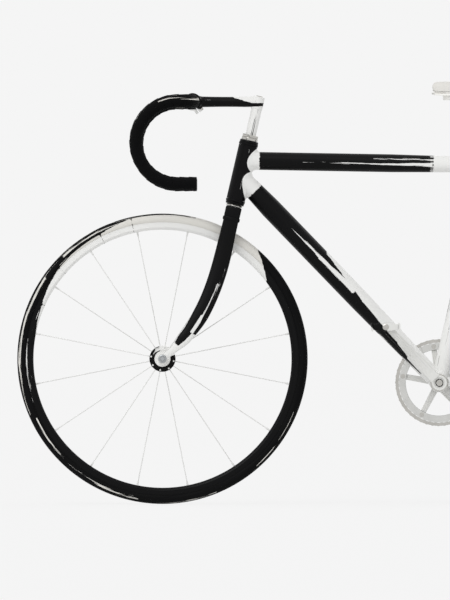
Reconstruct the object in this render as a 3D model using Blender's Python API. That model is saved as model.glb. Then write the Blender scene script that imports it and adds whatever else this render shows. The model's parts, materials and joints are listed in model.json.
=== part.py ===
"""Fixed-wheel racing bicycle with 650c wheels, a drop handlebar and a quill stem.

Metres, +X forward, +Y to the rider's left, +Z up. The origin is on the ground, midway between the axles.
"""

import math

import bmesh
import bpy
from mathutils import Matrix, Vector

# Clearance between pieces that touch or fit on the real bicycle
GAP = 0.0003

# Wheels
RIM_SEAT_RADIUS = 0.2855
TYRE_WIDTH = 0.023
TYRE_HEIGHT = 0.0235
RIM_WIDTH = 0.019
RIM_DEPTH = 0.011
RIM_BED_WIDTH = 0.010
RIM_SHOULDER_HEIGHT = 0.006
FRONT_SPOKES_A_SIDE = 8
REAR_SPOKES_A_SIDE = 10
SPOKE_DIAMETER = 0.0020
NIPPLE_DIAMETER = 0.0040
NIPPLE_LENGTH = 0.010
NIPPLE_OFFSET = 0.002
SPOKE_RING_WIDTH = 0.0014
SPOKE_RING_HALF_THICKNESS = 0.00135
SPOKE_ROOT = 0.0005
SPOKE_SHIFT_LEFT = 0.25
SPOKE_SHIFT_RIGHT = 0.75
FLANGE_RADIUS = 0.0277
FLANGE_THICKNESS = 0.003
HUB_BARREL_RADIUS = 0.012
HUB_BORE_CLEARANCE = 0.001
AXLE_DIAMETER = 0.010
FRONT_FLANGE_SPACING = 0.072
REAR_FLANGE_SPACING = 0.066
FRONT_HUB_END_RADIUS = 0.010
REAR_HUB_END_RADIUS = 0.016
FRONT_LOCKNUT_WIDTH = 0.100
REAR_LOCKNUT_WIDTH = 0.120
CONE_RADIUS = 0.008
CONE_LENGTH = 0.003
AXLE_NUT_ACROSS = 0.015
AXLE_NUT_HEIGHT = 0.010
AXLE_TIP = 0.004

# Frame layout, read from the side
FRONT_CENTRE = 0.5884
BRACKET_DROP = 0.051
HEAD_ANGLE = math.radians(77.0)
SEAT_ANGLE = math.radians(77.0)
FORK_RAKE = 0.0757
CROWN_TO_TYRE = 0.0253
SEAT_TUBE_TO_TYRE = 0.020
HEAD_TUBE_LENGTH = 0.118
TOP_TUBE_BELOW_HEAD = 0.033
TOP_TUBE_SLOPE = math.radians(1.0)
DOWN_TUBE_ABOVE_HEAD_BOTTOM = 0.0485

# Frame tubes
HEAD_TUBE_DIAMETER = 0.040
HEAD_TUBE_WALL = 0.004
TOP_TUBE_DIAMETER = 0.0381
TOP_TUBE_REAR_DIAMETER = 0.032
TOP_TUBE_TAPER_START = 0.6
DOWN_TUBE_HEAD_DIAMETER = 0.039
DOWN_TUBE_DIAMETER = 0.0445
DOWN_TUBE_BRACKET_DIAMETER = 0.036
DOWN_TUBE_SWELL_END = 0.15
DOWN_TUBE_TAPER_START = 0.6
SEAT_TUBE_DIAMETER = 0.0349
FRAME_TUBE_WALL = 0.0013
SEAT_TUBE_STICKS_UP = 0.034
BRACKET_SHELL_DIAMETER = 0.040
BRACKET_SHELL_WIDTH = 0.068
BRACKET_SHELL_WALL = 0.003
BRACKET_CUP_DEPTH = 0.017
BRACKET_CUP_FLANGE_RADIUS = 0.0185
BRACKET_CUP_LIP = 0.003
CHAIN_STAY_DIAMETER = 0.018
CHAIN_STAY_END_DIAMETER = 0.013
CHAIN_STAY_SPREAD = 0.0245
CHAIN_STAY_BEND_INSIDE_TYRE = 0.017
SEAT_STAY_DIAMETER = 0.014
SEAT_STAY_SPREAD = 0.0215
SEAT_STAY_BELOW_TOP_TUBE = 0.004
STAY_STRAIGHT_END = 0.040
STAY_SIDES = 12
DROPOUT_THICKNESS = 0.005
DROPOUT_RADIUS = 0.019
DROPOUT_REACH = 0.040
DROPOUT_SLOT_LENGTH = 0.022
DROPOUT_LIP = 0.013
SEAT_COLLAR_HEIGHT = 0.014
SEAT_COLLAR_WALL = 0.0035

# Headset, fork, stem and handlebar
CUP_HEIGHT = 0.0105
CUP_SKIRT = 0.010
CUP_RADIUS = 0.0205
CUP_TIP_RADIUS = 0.0193
CUP_BORE_CLEARANCE = 0.0009
RACE_HEIGHT = 0.004
RACE_RADIUS = 0.0175
TOP_RACE_HEIGHT = 0.012
STEERER_DIAMETER = 0.0254
QUILL_DIAMETER = 0.0222
CROWN_HEIGHT = 0.024
CROWN_CHORD = 0.034
FORK_BLADE_SPREAD_TOP = 0.033
FORK_BLADE_CHORD = 0.036
FORK_TIP_CHORD = 0.013
FORK_BLADE_THICKNESS = 0.017
FORK_TIP_THICKNESS = 0.0055
FORK_TIP_RADIUS = 0.0105
FORK_BEND_START = 0.234
# Where the bend's two curve handles lie: height above the axle, distance ahead of the steering axis
FORK_BEND_HANDLES = ((0.085, 0.0), (0.018, 0.045))
# Share of the blade's length, share of the change from full chord to tip chord
FORK_CHORD_FADE = ((0.0, 0.15), (0.3, 0.0), (0.62, 0.05), (0.8, 0.35), (0.93, 0.95), (1.0, 1.0))
FORK_SPREAD_END = 0.93
STEM_ABOVE_HEAD_TUBE = 0.0955
STEM_EXTENSION = 0.140
STEM_DIAMETER = 0.022
STEM_CLAMP_RADIUS = 0.0185
STEM_CLAMP_WIDTH = 0.040
QUILL_INSERTION = 0.075
WEDGE_LENGTH = 0.022
BAR_DIAMETER = 0.0238
BAR_SLEEVE_DIAMETER = 0.0254
BAR_SLEEVE_BESIDE_CLAMP = 0.003
BAR_WALL = 0.0018
BAR_HALF_WIDTH = 0.200
BAR_CORNER_RADIUS = 0.032
BAR_HOOK_RADIUS = 0.0875
BAR_TAIL = 0.040
TAPE_THICKNESS = 0.0032
TAPE_START = 0.045
PLUG_LENGTH = 0.012
PLUG_CAP = 0.0018

# Drivetrain
CHAIN_PITCH = 0.0127
RING_TEETH = 44
COG_TEETH = 16
CHAIN_LINE = 0.042
SPROCKET_THICKNESS = 0.0028
CHAIN_INNER_WIDTH = 0.0036
CHAIN_PLATE = 0.0011
CHAIN_PLATE_HEIGHT = 0.0082
ROLLER_SIZE = 0.0050
TOOTH_HEIGHT = 0.0036
TOOTH_HALF_BASE = 0.0022
TOOTH_HALF_TIP = 0.0010
TOOTH_ROOT_CLEARANCE = 0.0006
CRANK_LENGTH = 0.165
CRANK_TREAD = 0.062
CRANK_THICKNESS = 0.013
CRANK_WIDTH = 0.026
CRANK_TIP_WIDTH = 0.020
SPINDLE_DIAMETER = 0.016
SPINDLE_SUNK = 0.0039
SPIDER_ARMS = 5
SPIDER_THICKNESS = 0.0045
SPIDER_ARM_WIDTH = 0.014
SPIDER_TIP_WIDTH = 0.0112
SPIDER_BEYOND_BOLT = 0.0035
RING_RIM_WIDTH = 0.014
CRANK_BOSS_RADIUS = 0.016
CRANK_BOSS_START = 0.0436
CRANK_BOSS_SUNK = 0.0013
CRANK_REST_ANGLE = math.radians(46.0)
PEDAL_SPINDLE_DIAMETER = 0.010
PEDAL_COLLAR_RADIUS = 0.0075
PEDAL_COLLAR_LENGTH = 0.0033
PEDAL_WIDTH = 0.078
PEDAL_LENGTH = 0.062
PEDAL_HEIGHT = 0.020
PEDAL_WALL = 0.006
PEDAL_BEVEL = 0.006
PEDAL_CORE = 0.018

# Seat
SADDLE_HEIGHT = 0.660
SEATPOST_INSERTION = 0.090
SEATPOST_WALL = 0.0022
SEATPOST_HEAD_RADIUS = 0.0111
SEATPOST_HEAD_THICKNESS = 0.0044
SEATPOST_TAPER = 0.016
SEATPOST_VENT_RADIUS = 0.0022
SADDLE_LENGTH = 0.270
SADDLE_WIDTH = 0.140
SADDLE_STACK = 0.062
SADDLE_SETBACK = 0.015
SADDLE_SHELL_THICKNESS = 0.0035
SADDLE_PAD_THICKNESS = 0.024
SADDLE_PAD_EDGE = 0.45
SADDLE_CROWN = 0.16
# Share of the saddle's length from its tail, share of its half width
SADDLE_OUTLINE = (
    (0.0, 0.80), (0.06, 0.96), (0.16, 1.0), (0.28, 0.90), (0.40, 0.58), (0.55, 0.37), (0.75, 0.29),
    (0.93, 0.25), (1.0, 0.16))
RAIL_DIAMETER = 0.007
RAIL_SPREAD = 0.022
RAIL_REAR_SPREAD = 0.034
RAIL_NOSE_SPREAD = 0.007
RAIL_RISE = 0.024
RAIL_HALF_STRAIGHT = 0.0435
RAIL_TAIL_INSET = 0.028
RAIL_NOSE_INSET = 0.038
SADDLE_CLAMP_RADIUS = 0.013

# How finely round things are cut
ROUND_SIDES = 16
HEAD_TUBE_SIDES = 24
WHEEL_SIDES = 44
TYRE_POINTS = 8
SPOKE_SIDES = 4
BLADE_SIDES = 12
FORK_BEND_STEPS = 9
SLOT_ROUND_SIDES = 8
BAR_SIDES = 8
BAR_CORNER_STEPS = 4
BAR_HOOK_STEPS = 9
RAIL_SIDES = 8
SADDLE_POINTS = 4

# Places worked out from the sizes above
WHEEL_RADIUS = RIM_SEAT_RADIUS + TYRE_HEIGHT
RING_RADIUS = CHAIN_PITCH / (2 * math.sin(math.pi / RING_TEETH))
COG_RADIUS = CHAIN_PITCH / (2 * math.sin(math.pi / COG_TEETH))
SEAT_RADIUS = SEAT_TUBE_DIAMETER / 2
TAUT_GUESSES = 60


def taut_centre_distance(links):
    """Return how far the rear axle stands from the crank axle when the chain is taut, by repeated guesses."""
    wanted = links * CHAIN_PITCH
    distance = wanted / 3
    for _ in range(TAUT_GUESSES):
        lean = math.asin((RING_RADIUS - COG_RADIUS) / distance)
        wraps = RING_RADIUS * (math.pi + 2 * lean) + COG_RADIUS * (math.pi - 2 * lean)
        distance = (wanted - wraps) / (2 * math.cos(lean))
    return distance


def shortest_chain():
    """Return the least even number of links that keeps the rear tyre clear of the seat tube."""
    links = RING_TEETH + COG_TEETH
    needed = WHEEL_RADIUS + SEAT_TUBE_TO_TYRE + SEAT_RADIUS
    room = 0
    while room < needed:
        links += 2
        behind = math.sqrt(taut_centre_distance(links) ** 2 - BRACKET_DROP ** 2)
        room = behind * math.sin(SEAT_ANGLE) - BRACKET_DROP * math.cos(SEAT_ANGLE)
    return links


CHAIN_LINKS = shortest_chain()
CHAIN_STAY_LENGTH = taut_centre_distance(CHAIN_LINKS)
REAR_CENTRE = math.sqrt(CHAIN_STAY_LENGTH ** 2 - BRACKET_DROP ** 2)
WHEELBASE = FRONT_CENTRE + REAR_CENTRE
FRONT_AXLE = Vector((WHEELBASE / 2, 0, WHEEL_RADIUS))
REAR_AXLE = Vector((-WHEELBASE / 2, 0, WHEEL_RADIUS))
BRACKET = Vector((FRONT_AXLE.x - FRONT_CENTRE, 0, WHEEL_RADIUS - BRACKET_DROP))
AHEAD = Vector((1, 0, 0))
ACROSS = Vector((0, 1, 0))
UPWARD = Vector((0, 0, 1))
STEER_UP = Vector((-math.cos(HEAD_ANGLE), 0, math.sin(HEAD_ANGLE)))
STEER_FORWARD = Vector((math.sin(HEAD_ANGLE), 0, math.cos(HEAD_ANGLE)))
STEER_FOOT = FRONT_AXLE - Vector((FORK_RAKE / math.sin(HEAD_ANGLE), 0, 0))
SEAT_UP = Vector((-math.cos(SEAT_ANGLE), 0, math.sin(SEAT_ANGLE)))


def on_steering_axis(distance, forward=0.0):
    """Return a point in the centre plane by its place along the steering axis and ahead of it."""
    return STEER_FOOT + STEER_UP * distance + STEER_FORWARD * forward


CROWN_FROM_AXLE = math.sqrt((WHEEL_RADIUS + CROWN_TO_TYRE) ** 2 - FORK_RAKE ** 2)
CROWN_BOTTOM = CROWN_FROM_AXLE - FORK_RAKE / math.tan(HEAD_ANGLE)
CROWN_TOP = CROWN_BOTTOM + CROWN_HEIGHT
CROWN_RACE_BOTTOM = CROWN_TOP + GAP
HEAD_TUBE_BOTTOM = CROWN_RACE_BOTTOM + RACE_HEIGHT + CUP_HEIGHT + GAP * 2
HEAD_TUBE_TOP = HEAD_TUBE_BOTTOM + HEAD_TUBE_LENGTH
STEM_HEIGHT = HEAD_TUBE_TOP + STEM_ABOVE_HEAD_TUBE
TOP_TUBE_FRONT = on_steering_axis(HEAD_TUBE_TOP - TOP_TUBE_BELOW_HEAD)
DOWN_TUBE_FRONT = on_steering_axis(HEAD_TUBE_BOTTOM + DOWN_TUBE_ABOVE_HEAD_BOTTOM)


def seat_cluster():
    """Return where the top tube's centre line meets the seat tube's."""
    slope = math.tan(TOP_TUBE_SLOPE)
    rise = TOP_TUBE_FRONT.z - BRACKET.z - slope * (TOP_TUBE_FRONT.x - BRACKET.x)
    along = rise / (SEAT_UP.z - slope * SEAT_UP.x)
    return BRACKET + SEAT_UP * along


SEAT_CLUSTER = seat_cluster()
SEAT_TUBE_TOP = SEAT_CLUSTER + SEAT_UP * SEAT_TUBE_STICKS_UP
BAR_CENTRE = on_steering_axis(STEM_HEIGHT) + Vector((STEM_EXTENSION, 0, 0))


def paint(name, colour, roughness, metallic):
    """Return a plain material."""
    material = bpy.data.materials.new(name)
    material.use_nodes = True
    shader = material.node_tree.nodes["Principled BSDF"]
    shader.inputs["Base Color"].default_value = (*colour, 1)
    shader.inputs["Roughness"].default_value = roughness
    shader.inputs["Metallic"].default_value = metallic
    return material


def clear_scene():
    """Remove every object that the scene starts with."""
    for thing in list(bpy.data.objects):
        bpy.data.objects.remove(thing)


clear_scene()

FRAME_PAINT = paint("black_frame_paint", (0.012, 0.012, 0.013), 0.35, 0.0)
TYRE_RUBBER = paint("black_tyre_rubber", (0.015, 0.015, 0.015), 0.8, 0.0)
RIM_BLACK = paint("black_anodised_rim", (0.02, 0.02, 0.02), 0.4, 0.8)
STEEL = paint("bright_steel", (0.62, 0.62, 0.63), 0.25, 1.0)
ALLOY = paint("polished_aluminium", (0.75, 0.75, 0.76), 0.2, 1.0)
TAPE_CLOTH = paint("black_bar_tape", (0.014, 0.014, 0.014), 0.75, 0.0)
SADDLE_BLACK = paint("black_saddle_cover", (0.016, 0.015, 0.015), 0.5, 0.0)
PLASTIC = paint("black_plastic", (0.02, 0.02, 0.02), 0.45, 0.0)


def body_empty(name, place, axis=ACROSS):
    """Return an empty on a joint's axis, which carries that body's pieces."""
    empty = bpy.data.objects.new(name, None)
    empty.location = place
    empty.rotation_mode = "QUATERNION"
    empty.rotation_quaternion = UPWARD.rotation_difference(axis)
    bpy.context.scene.collection.objects.link(empty)
    return empty


def add_piece(name, bm, material, body=None, smooth=35):
    """Make an object from a mesh in world coordinates, carried by a body's empty."""
    bmesh.ops.recalc_face_normals(bm, faces=bm.faces)
    if body is not None:
        carried = Matrix.Translation(body.location) @ body.rotation_quaternion.to_matrix().to_4x4()
        bmesh.ops.transform(bm, matrix=carried.inverted(), verts=bm.verts)
    mesh = bpy.data.meshes.new(name)
    bm.to_mesh(mesh)
    bm.free()
    mesh.materials.append(material)
    mesh.shade_smooth()
    mesh.set_sharp_from_angle(angle=math.radians(smooth))
    piece = bpy.data.objects.new(name, mesh)
    piece.parent = body
    bpy.context.scene.collection.objects.link(piece)
    return piece


def cut(piece, cutter, operation="DIFFERENCE"):
    """Take a hidden cutter out of a piece."""
    cutter.hide_render = True
    cutter.display_type = "WIRE"
    step = piece.modifiers.new(cutter.name, "BOOLEAN")
    step.operation = operation
    step.solver = "EXACT"
    step.object = cutter


def skin(rings, loop=False):
    """Return a mesh stretched over rings of points, with flat ends unless the rings form a loop."""
    bm = bmesh.new()
    rows = [[bm.verts.new(point) for point in ring] for ring in rings]
    pairs = list(zip(rows, rows[1:]))
    if loop:
        pairs.append((rows[-1], rows[0]))
    for first, second in pairs:
        for here in range(len(first)):
            after = (here + 1) % len(first)
            bm.faces.new((first[here], first[after], second[after], second[here]))
    if not loop:
        bm.faces.new(rows[0])
        bm.faces.new(rows[-1])
    return bm


def crosswise(axis):
    """Return two unit vectors square to an axis and to each other."""
    axis = axis.normalized()
    side = AHEAD if abs(axis.y) > max(abs(axis.x), abs(axis.z)) else ACROSS
    first = (side - axis * side.dot(axis)).normalized()
    return first, axis.cross(first)


def circle(centre, axis, radius, sides, turn=0.0):
    """Return the points of a circle."""
    first, second = crosswise(axis)
    angles = [turn + 2 * math.pi * step / sides for step in range(sides)]
    return [centre + (first * math.cos(a) + second * math.sin(a)) * radius for a in angles]


def rod(start, axis, stations, sides=ROUND_SIDES, turn=0.0):
    """Return a turned solid with flat ends from (distance, radius) stations along an axis."""
    axis = axis.normalized()
    return skin([circle(start + axis * along, axis, radius, sides, turn) for along, radius in stations])


def turned_ring(centre, axis, section, sides=ROUND_SIDES):
    """Return a turned solid with a bore, from a closed section of (distance, radius) points."""
    first, second = crosswise(axis)
    axis = axis.normalized()
    rings = []
    for step in range(sides):
        angle = 2 * math.pi * step / sides
        outward = first * math.cos(angle) + second * math.sin(angle)
        rings.append([centre + axis * along + outward * radius for along, radius in section])
    return skin(rings, loop=True)


def sleeve(start, end, outer, inner, sides=ROUND_SIDES):
    """Return a straight tube with open ends."""
    length = (end - start).length
    return turned_ring(start, end - start, [(0, outer), (length, outer), (length, inner), (0, inner)], sides)


def shaped_sleeve(start, end, stations, wall, sides=ROUND_SIDES):
    """Return a straight tube with open ends whose outer radius follows (share of length, radius)."""
    length = (end - start).length
    outer = [(share * length, radius) for share, radius in stations]
    inner = [(along, radius - wall) for along, radius in reversed(outer)]
    return turned_ring(start, end - start, outer + inner, sides)


def cylinder_cutter(name, start, end, radius, sides=ROUND_SIDES * 2):
    """Return a round cutter whose flats lie at least at the given radius."""
    axis = end - start
    reach = radius / math.cos(math.pi / sides)
    return add_piece(name, rod(start, axis, [(0, reach), (axis.length, reach)], sides), FRAME_PAINT)


def pipe(points, radii, sides, bore=None):
    """Return a round bar along a path, or a tube when the radii of its bore are given."""
    outer = []
    inner = []
    last = (points[1] - points[0]).normalized()
    first = crosswise(last)[0]
    for index, point in enumerate(points):
        before = points[max(index - 1, 0)]
        after = points[min(index + 1, len(points) - 1)]
        along = (after - before).normalized()
        first = last.rotation_difference(along) @ first
        last = along
        second = along.cross(first)
        for rows, radius in ((outer, radii[index]), (inner, bore[index] if bore else 0)):
            rows.append([
                point + (first * math.cos(turn) + second * math.sin(turn)) * radius
                for turn in (2 * math.pi * step / sides for step in range(sides))
            ])
    if bore:
        return skin(outer + inner[::-1], loop=True)
    return skin(outer)


def plate(outline, origin, right, up, low, high):
    """Return a flat plate from an outline of (right, up) points, between two places across the bicycle."""
    return skin([
        [origin + right * a + up * b + ACROSS * level for a, b in outline]
        for level in (low, high)
    ])


# Frame
HEAD_RADIUS = HEAD_TUBE_DIAMETER / 2
HEAD_BORE = HEAD_RADIUS - HEAD_TUBE_WALL
SEAT_BORE = SEAT_RADIUS - FRAME_TUBE_WALL
SHELL_RADIUS = BRACKET_SHELL_DIAMETER / 2
SHELL_BORE = SHELL_RADIUS - BRACKET_SHELL_WALL
HALF_SHELL = BRACKET_SHELL_WIDTH / 2
DROPOUT_INNER = REAR_LOCKNUT_WIDTH / 2 + GAP
DROPOUT_MIDDLE = DROPOUT_INNER + DROPOUT_THICKNESS / 2
STEERER_RADIUS = STEERER_DIAMETER / 2
QUILL_RADIUS = QUILL_DIAMETER / 2
SPINDLE_RADIUS = SPINDLE_DIAMETER / 2


def frame_cutters():
    """Return the room that the head tube, seat tube and bracket shell take from the tubes they meet."""
    beyond = HEAD_TUBE_LENGTH / 2
    head = cylinder_cutter(
        "head_tube_room", on_steering_axis(HEAD_TUBE_BOTTOM - beyond),
        on_steering_axis(HEAD_TUBE_TOP + beyond), HEAD_RADIUS + GAP)
    seat = cylinder_cutter(
        "seat_tube_room", BRACKET, SEAT_TUBE_TOP + SEAT_UP * SEAT_TUBE_STICKS_UP, SEAT_RADIUS + GAP)
    shell = cylinder_cutter(
        "bracket_room", BRACKET - ACROSS * BRACKET_SHELL_WIDTH, BRACKET + ACROSS * BRACKET_SHELL_WIDTH,
        SHELL_RADIUS + GAP)
    return head, seat, shell


def main_tubes(head_room, seat_room, shell_room):
    """Make the four main tubes and the bottom bracket shell."""
    head = sleeve(
        on_steering_axis(HEAD_TUBE_BOTTOM), on_steering_axis(HEAD_TUBE_TOP), HEAD_RADIUS, HEAD_BORE,
        HEAD_TUBE_SIDES)
    add_piece("head_tube", head, FRAME_PAINT)

    top_radius = TOP_TUBE_DIAMETER / 2
    top = add_piece("top_tube", shaped_sleeve(
        TOP_TUBE_FRONT, SEAT_CLUSTER,
        [(0, top_radius), (TOP_TUBE_TAPER_START, top_radius), (1, TOP_TUBE_REAR_DIAMETER / 2)],
        FRAME_TUBE_WALL), FRAME_PAINT)
    cut(top, head_room)
    cut(top, seat_room)

    down_radius = DOWN_TUBE_DIAMETER / 2
    down = add_piece("down_tube", shaped_sleeve(
        DOWN_TUBE_FRONT, BRACKET,
        [(0, DOWN_TUBE_HEAD_DIAMETER / 2), (DOWN_TUBE_SWELL_END, down_radius),
         (DOWN_TUBE_TAPER_START, down_radius), (1, DOWN_TUBE_BRACKET_DIAMETER / 2)],
        FRAME_TUBE_WALL), FRAME_PAINT)
    cut(down, head_room)
    cut(down, shell_room)
    cut(down, seat_room)

    seat = add_piece("seat_tube", sleeve(BRACKET, SEAT_TUBE_TOP, SEAT_RADIUS, SEAT_BORE), FRAME_PAINT)
    cut(seat, shell_room)
    shell = sleeve(BRACKET - ACROSS * HALF_SHELL, BRACKET + ACROSS * HALF_SHELL, SHELL_RADIUS, SHELL_BORE)
    add_piece("bottom_bracket_shell", shell, FRAME_PAINT)


STAY_LINE = (BRACKET - REAR_AXLE).normalized()
STAY_RISE = STAY_LINE.cross(ACROSS)
SEAT_STAY_TOP = SEAT_CLUSTER - SEAT_UP * SEAT_STAY_BELOW_TOP_TUBE
SEAT_STAY_LINE = (SEAT_STAY_TOP - REAR_AXLE).normalized()


def rear_triangle(seat_room, shell_room):
    """Make the stays and the rear-opening dropouts on both sides."""
    for name, side in (("left", 1), ("right", -1)):
        end = REAR_AXLE + STAY_LINE * (DROPOUT_REACH + GAP)
        bend = REAR_AXLE + STAY_LINE * (WHEEL_RADIUS - CHAIN_STAY_BEND_INSIDE_TYRE)
        stay_points = [
            end + ACROSS * side * DROPOUT_MIDDLE,
            end + STAY_LINE * STAY_STRAIGHT_END + ACROSS * side * DROPOUT_MIDDLE,
            bend + ACROSS * side * CHAIN_STAY_SPREAD,
            BRACKET + ACROSS * side * CHAIN_STAY_SPREAD,
        ]
        thin = CHAIN_STAY_END_DIAMETER / 2
        thick = CHAIN_STAY_DIAMETER / 2
        chain_stay = add_piece(
            f"chain_stay_{name}", pipe(stay_points, [thin, thin, thick, thick], STAY_SIDES), FRAME_PAINT)
        cut(chain_stay, shell_room)

        radius = SEAT_STAY_DIAMETER / 2
        low = REAR_AXLE + SEAT_STAY_LINE * (DROPOUT_REACH + GAP) + ACROSS * side * DROPOUT_MIDDLE
        knee = low + SEAT_STAY_LINE * STAY_STRAIGHT_END
        high = SEAT_STAY_TOP + ACROSS * side * SEAT_STAY_SPREAD
        seat_stay = add_piece(
            f"seat_stay_{name}", pipe([low, knee, high], [radius] * 3, STAY_SIDES), FRAME_PAINT)
        cut(seat_stay, seat_room)

        outline = dropout_outline()
        inner = DROPOUT_INNER * side
        outer = (DROPOUT_INNER + DROPOUT_THICKNESS) * side
        add_piece(
            f"dropout_{name}", plate(outline, REAR_AXLE, STAY_LINE, STAY_RISE, inner, outer), FRAME_PAINT)


HALF_SLOT = AXLE_DIAMETER / 2 + GAP


def slot_end(middle):
    """Return the corners of an axle slot's round end, facing the given way and clear of the axle."""
    corner = HALF_SLOT / math.cos(math.pi / SLOT_ROUND_SIDES)
    count = SLOT_ROUND_SIDES // 2
    turns = [middle + 2 * math.pi * (step - (count - 1) / 2) / SLOT_ROUND_SIDES for step in range(count)]
    return [(corner * math.cos(turn), corner * math.sin(turn)) for turn in turns]


def dropout_outline():
    """Return a dropout's outline round its axle slot, as (along the chain stay, above it) points."""
    rear = -DROPOUT_SLOT_LENGTH
    along = SEAT_STAY_LINE.dot(STAY_LINE)
    above = SEAT_STAY_LINE.dot(STAY_RISE)
    half_tab = SEAT_STAY_DIAMETER / 2
    tab = [
        (DROPOUT_REACH * along - half_tab * above, DROPOUT_REACH * above + half_tab * along),
        (DROPOUT_REACH * along + half_tab * above, DROPOUT_REACH * above - half_tab * along),
    ]
    half_end = CHAIN_STAY_END_DIAMETER / 2
    return (
        [(rear, -HALF_SLOT)] + slot_end(0) + [(rear, HALF_SLOT), (rear, DROPOUT_LIP)] + tab
        + [(DROPOUT_REACH, half_end), (DROPOUT_REACH, -half_end), (0, -DROPOUT_RADIUS), (rear, -DROPOUT_LIP)]
    )


def headset():
    """Make the cups in the head tube, the crown race and the threaded top race."""
    skirt_outer = HEAD_BORE - GAP
    bore = STEERER_RADIUS + CUP_BORE_CLEARANCE
    tip = GAP + CUP_HEIGHT
    section = [
        (-CUP_SKIRT, skirt_outer), (GAP, skirt_outer), (GAP, CUP_RADIUS), (tip, CUP_TIP_RADIUS), (tip, bore),
        (-CUP_SKIRT, bore)]
    bottom = on_steering_axis(HEAD_TUBE_BOTTOM)
    top = on_steering_axis(HEAD_TUBE_TOP)
    add_piece("headset_lower_cup", turned_ring(bottom, -STEER_UP, section), FRAME_PAINT)
    add_piece("headset_upper_cup", turned_ring(top, STEER_UP, section), FRAME_PAINT)


def bottom_bracket_cups():
    """Make the two threaded cups in the bottom bracket shell."""
    thread = SHELL_BORE - GAP
    bore = SPINDLE_RADIUS + GAP
    section = [
        (-BRACKET_CUP_DEPTH, thread), (GAP, thread), (GAP, BRACKET_CUP_FLANGE_RADIUS),
        (BRACKET_CUP_LIP, BRACKET_CUP_FLANGE_RADIUS), (BRACKET_CUP_LIP, bore), (-BRACKET_CUP_DEPTH, bore)]
    for name, side in (("left", 1), ("right", -1)):
        face = BRACKET + ACROSS * side * HALF_SHELL
        add_piece(f"bottom_bracket_cup_{name}", turned_ring(face, ACROSS * side, section), STEEL)


head_room, seat_room, shell_room = frame_cutters()
main_tubes(head_room, seat_room, shell_room)
rear_triangle(seat_room, shell_room)
headset()
bottom_bracket_cups()


def seat_collar():
    """Make the split collar that clamps the seatpost at the top of the seat tube."""
    top = SEAT_TUBE_TOP
    inner = SEAT_RADIUS + GAP
    add_piece("seat_collar", sleeve(
        top - SEAT_UP * SEAT_COLLAR_HEIGHT, top, inner + SEAT_COLLAR_WALL, inner), ALLOY)


seat_collar()

# Fork
FORK_BODY = body_empty("fork_axis", on_steering_axis(HEAD_TUBE_BOTTOM), STEER_UP)
TOP_RACE_BOTTOM = HEAD_TUBE_TOP + CUP_HEIGHT + GAP * 2
STEERER_TOP = TOP_RACE_BOTTOM + TOP_RACE_HEIGHT
FORK_TIP_INNER = FRONT_LOCKNUT_WIDTH / 2 + GAP
FORK_TIP_MIDDLE = FORK_TIP_INNER + FORK_TIP_THICKNESS / 2


def between(table, place):
    """Return a value read from a table of (place, value) rows, straight between them."""
    for (low, first), (high, second) in zip(table, table[1:]):
        if place <= high:
            return first + (second - first) * (place - low) / (high - low)
    return table[-1][1]


def fork_line():
    """Return the fork blade's centre line as (along the steering axis, ahead of it) points."""
    axle = FRONT_AXLE - STEER_FOOT
    ends = [(FORK_BEND_START, 0.0), *FORK_BEND_HANDLES, (axle.dot(STEER_UP), axle.dot(STEER_FORWARD))]
    line = [(CROWN_BOTTOM - GAP, 0.0)]
    for step in range(FORK_BEND_STEPS + 1):
        t = step / FORK_BEND_STEPS
        weights = ((1 - t) ** 3, 3 * t * (1 - t) ** 2, 3 * t ** 2 * (1 - t), t ** 3)
        line.append(tuple(sum(w * end[part] for w, end in zip(weights, ends)) for part in (0, 1)))
    return line


def fork_blade(name, side):
    """Make one fork blade, an oval tube drawn thin and flattened into a slotted tip round the axle."""
    line = [on_steering_axis(*pair) for pair in fork_line()]
    reached = [0.0]
    for first, second in zip(line, line[1:]):
        reached.append(reached[-1] + (second - first).length)
    rings = []
    for index, point in enumerate(line):
        share = reached[index] / reached[-1]
        ahead = line[min(index + 1, len(line) - 1)] - line[max(index - 1, 0)]
        across_chord = ahead.normalized().cross(ACROSS)
        fade = between(FORK_CHORD_FADE, share)
        chord = FORK_BLADE_CHORD + (FORK_TIP_CHORD - FORK_BLADE_CHORD) * fade
        thick = FORK_BLADE_THICKNESS + (FORK_TIP_THICKNESS - FORK_BLADE_THICKNESS) * fade
        spread = between([(0, FORK_BLADE_SPREAD_TOP), (FORK_SPREAD_END, FORK_TIP_MIDDLE)], share)
        centre = point + ACROSS * side * spread
        rings.append([
            centre + across_chord * (chord / 2 * math.cos(turn)) + ACROSS * (thick / 2 * math.sin(turn))
            for turn in (2 * math.pi * step / BLADE_SIDES for step in range(BLADE_SIDES))
        ])
    blade = add_piece(name, skin(rings), FRAME_PAINT, FORK_BODY)

    inner = FORK_TIP_INNER * side
    outer = (FORK_TIP_INNER + FORK_TIP_THICKNESS) * side
    eye = [(FORK_TIP_RADIUS * math.cos(a), FORK_TIP_RADIUS * math.sin(a))
           for a in (2 * math.pi * step / ROUND_SIDES for step in range(ROUND_SIDES))]
    ring = plate(eye, FRONT_AXLE, AHEAD, UPWARD, inner, outer)
    cut(blade, add_piece(f"{name}_eye", ring, FRAME_PAINT), "UNION")
    slot = slot_end(math.pi / 2) + [(-HALF_SLOT, -FORK_TIP_RADIUS * 2), (HALF_SLOT, -FORK_TIP_RADIUS * 2)]
    room = plate(slot, FRONT_AXLE, AHEAD, UPWARD, inner - side * HALF_SLOT, outer + side * HALF_SLOT)
    cut(blade, add_piece(f"{name}_slot", room, FRAME_PAINT))


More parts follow.
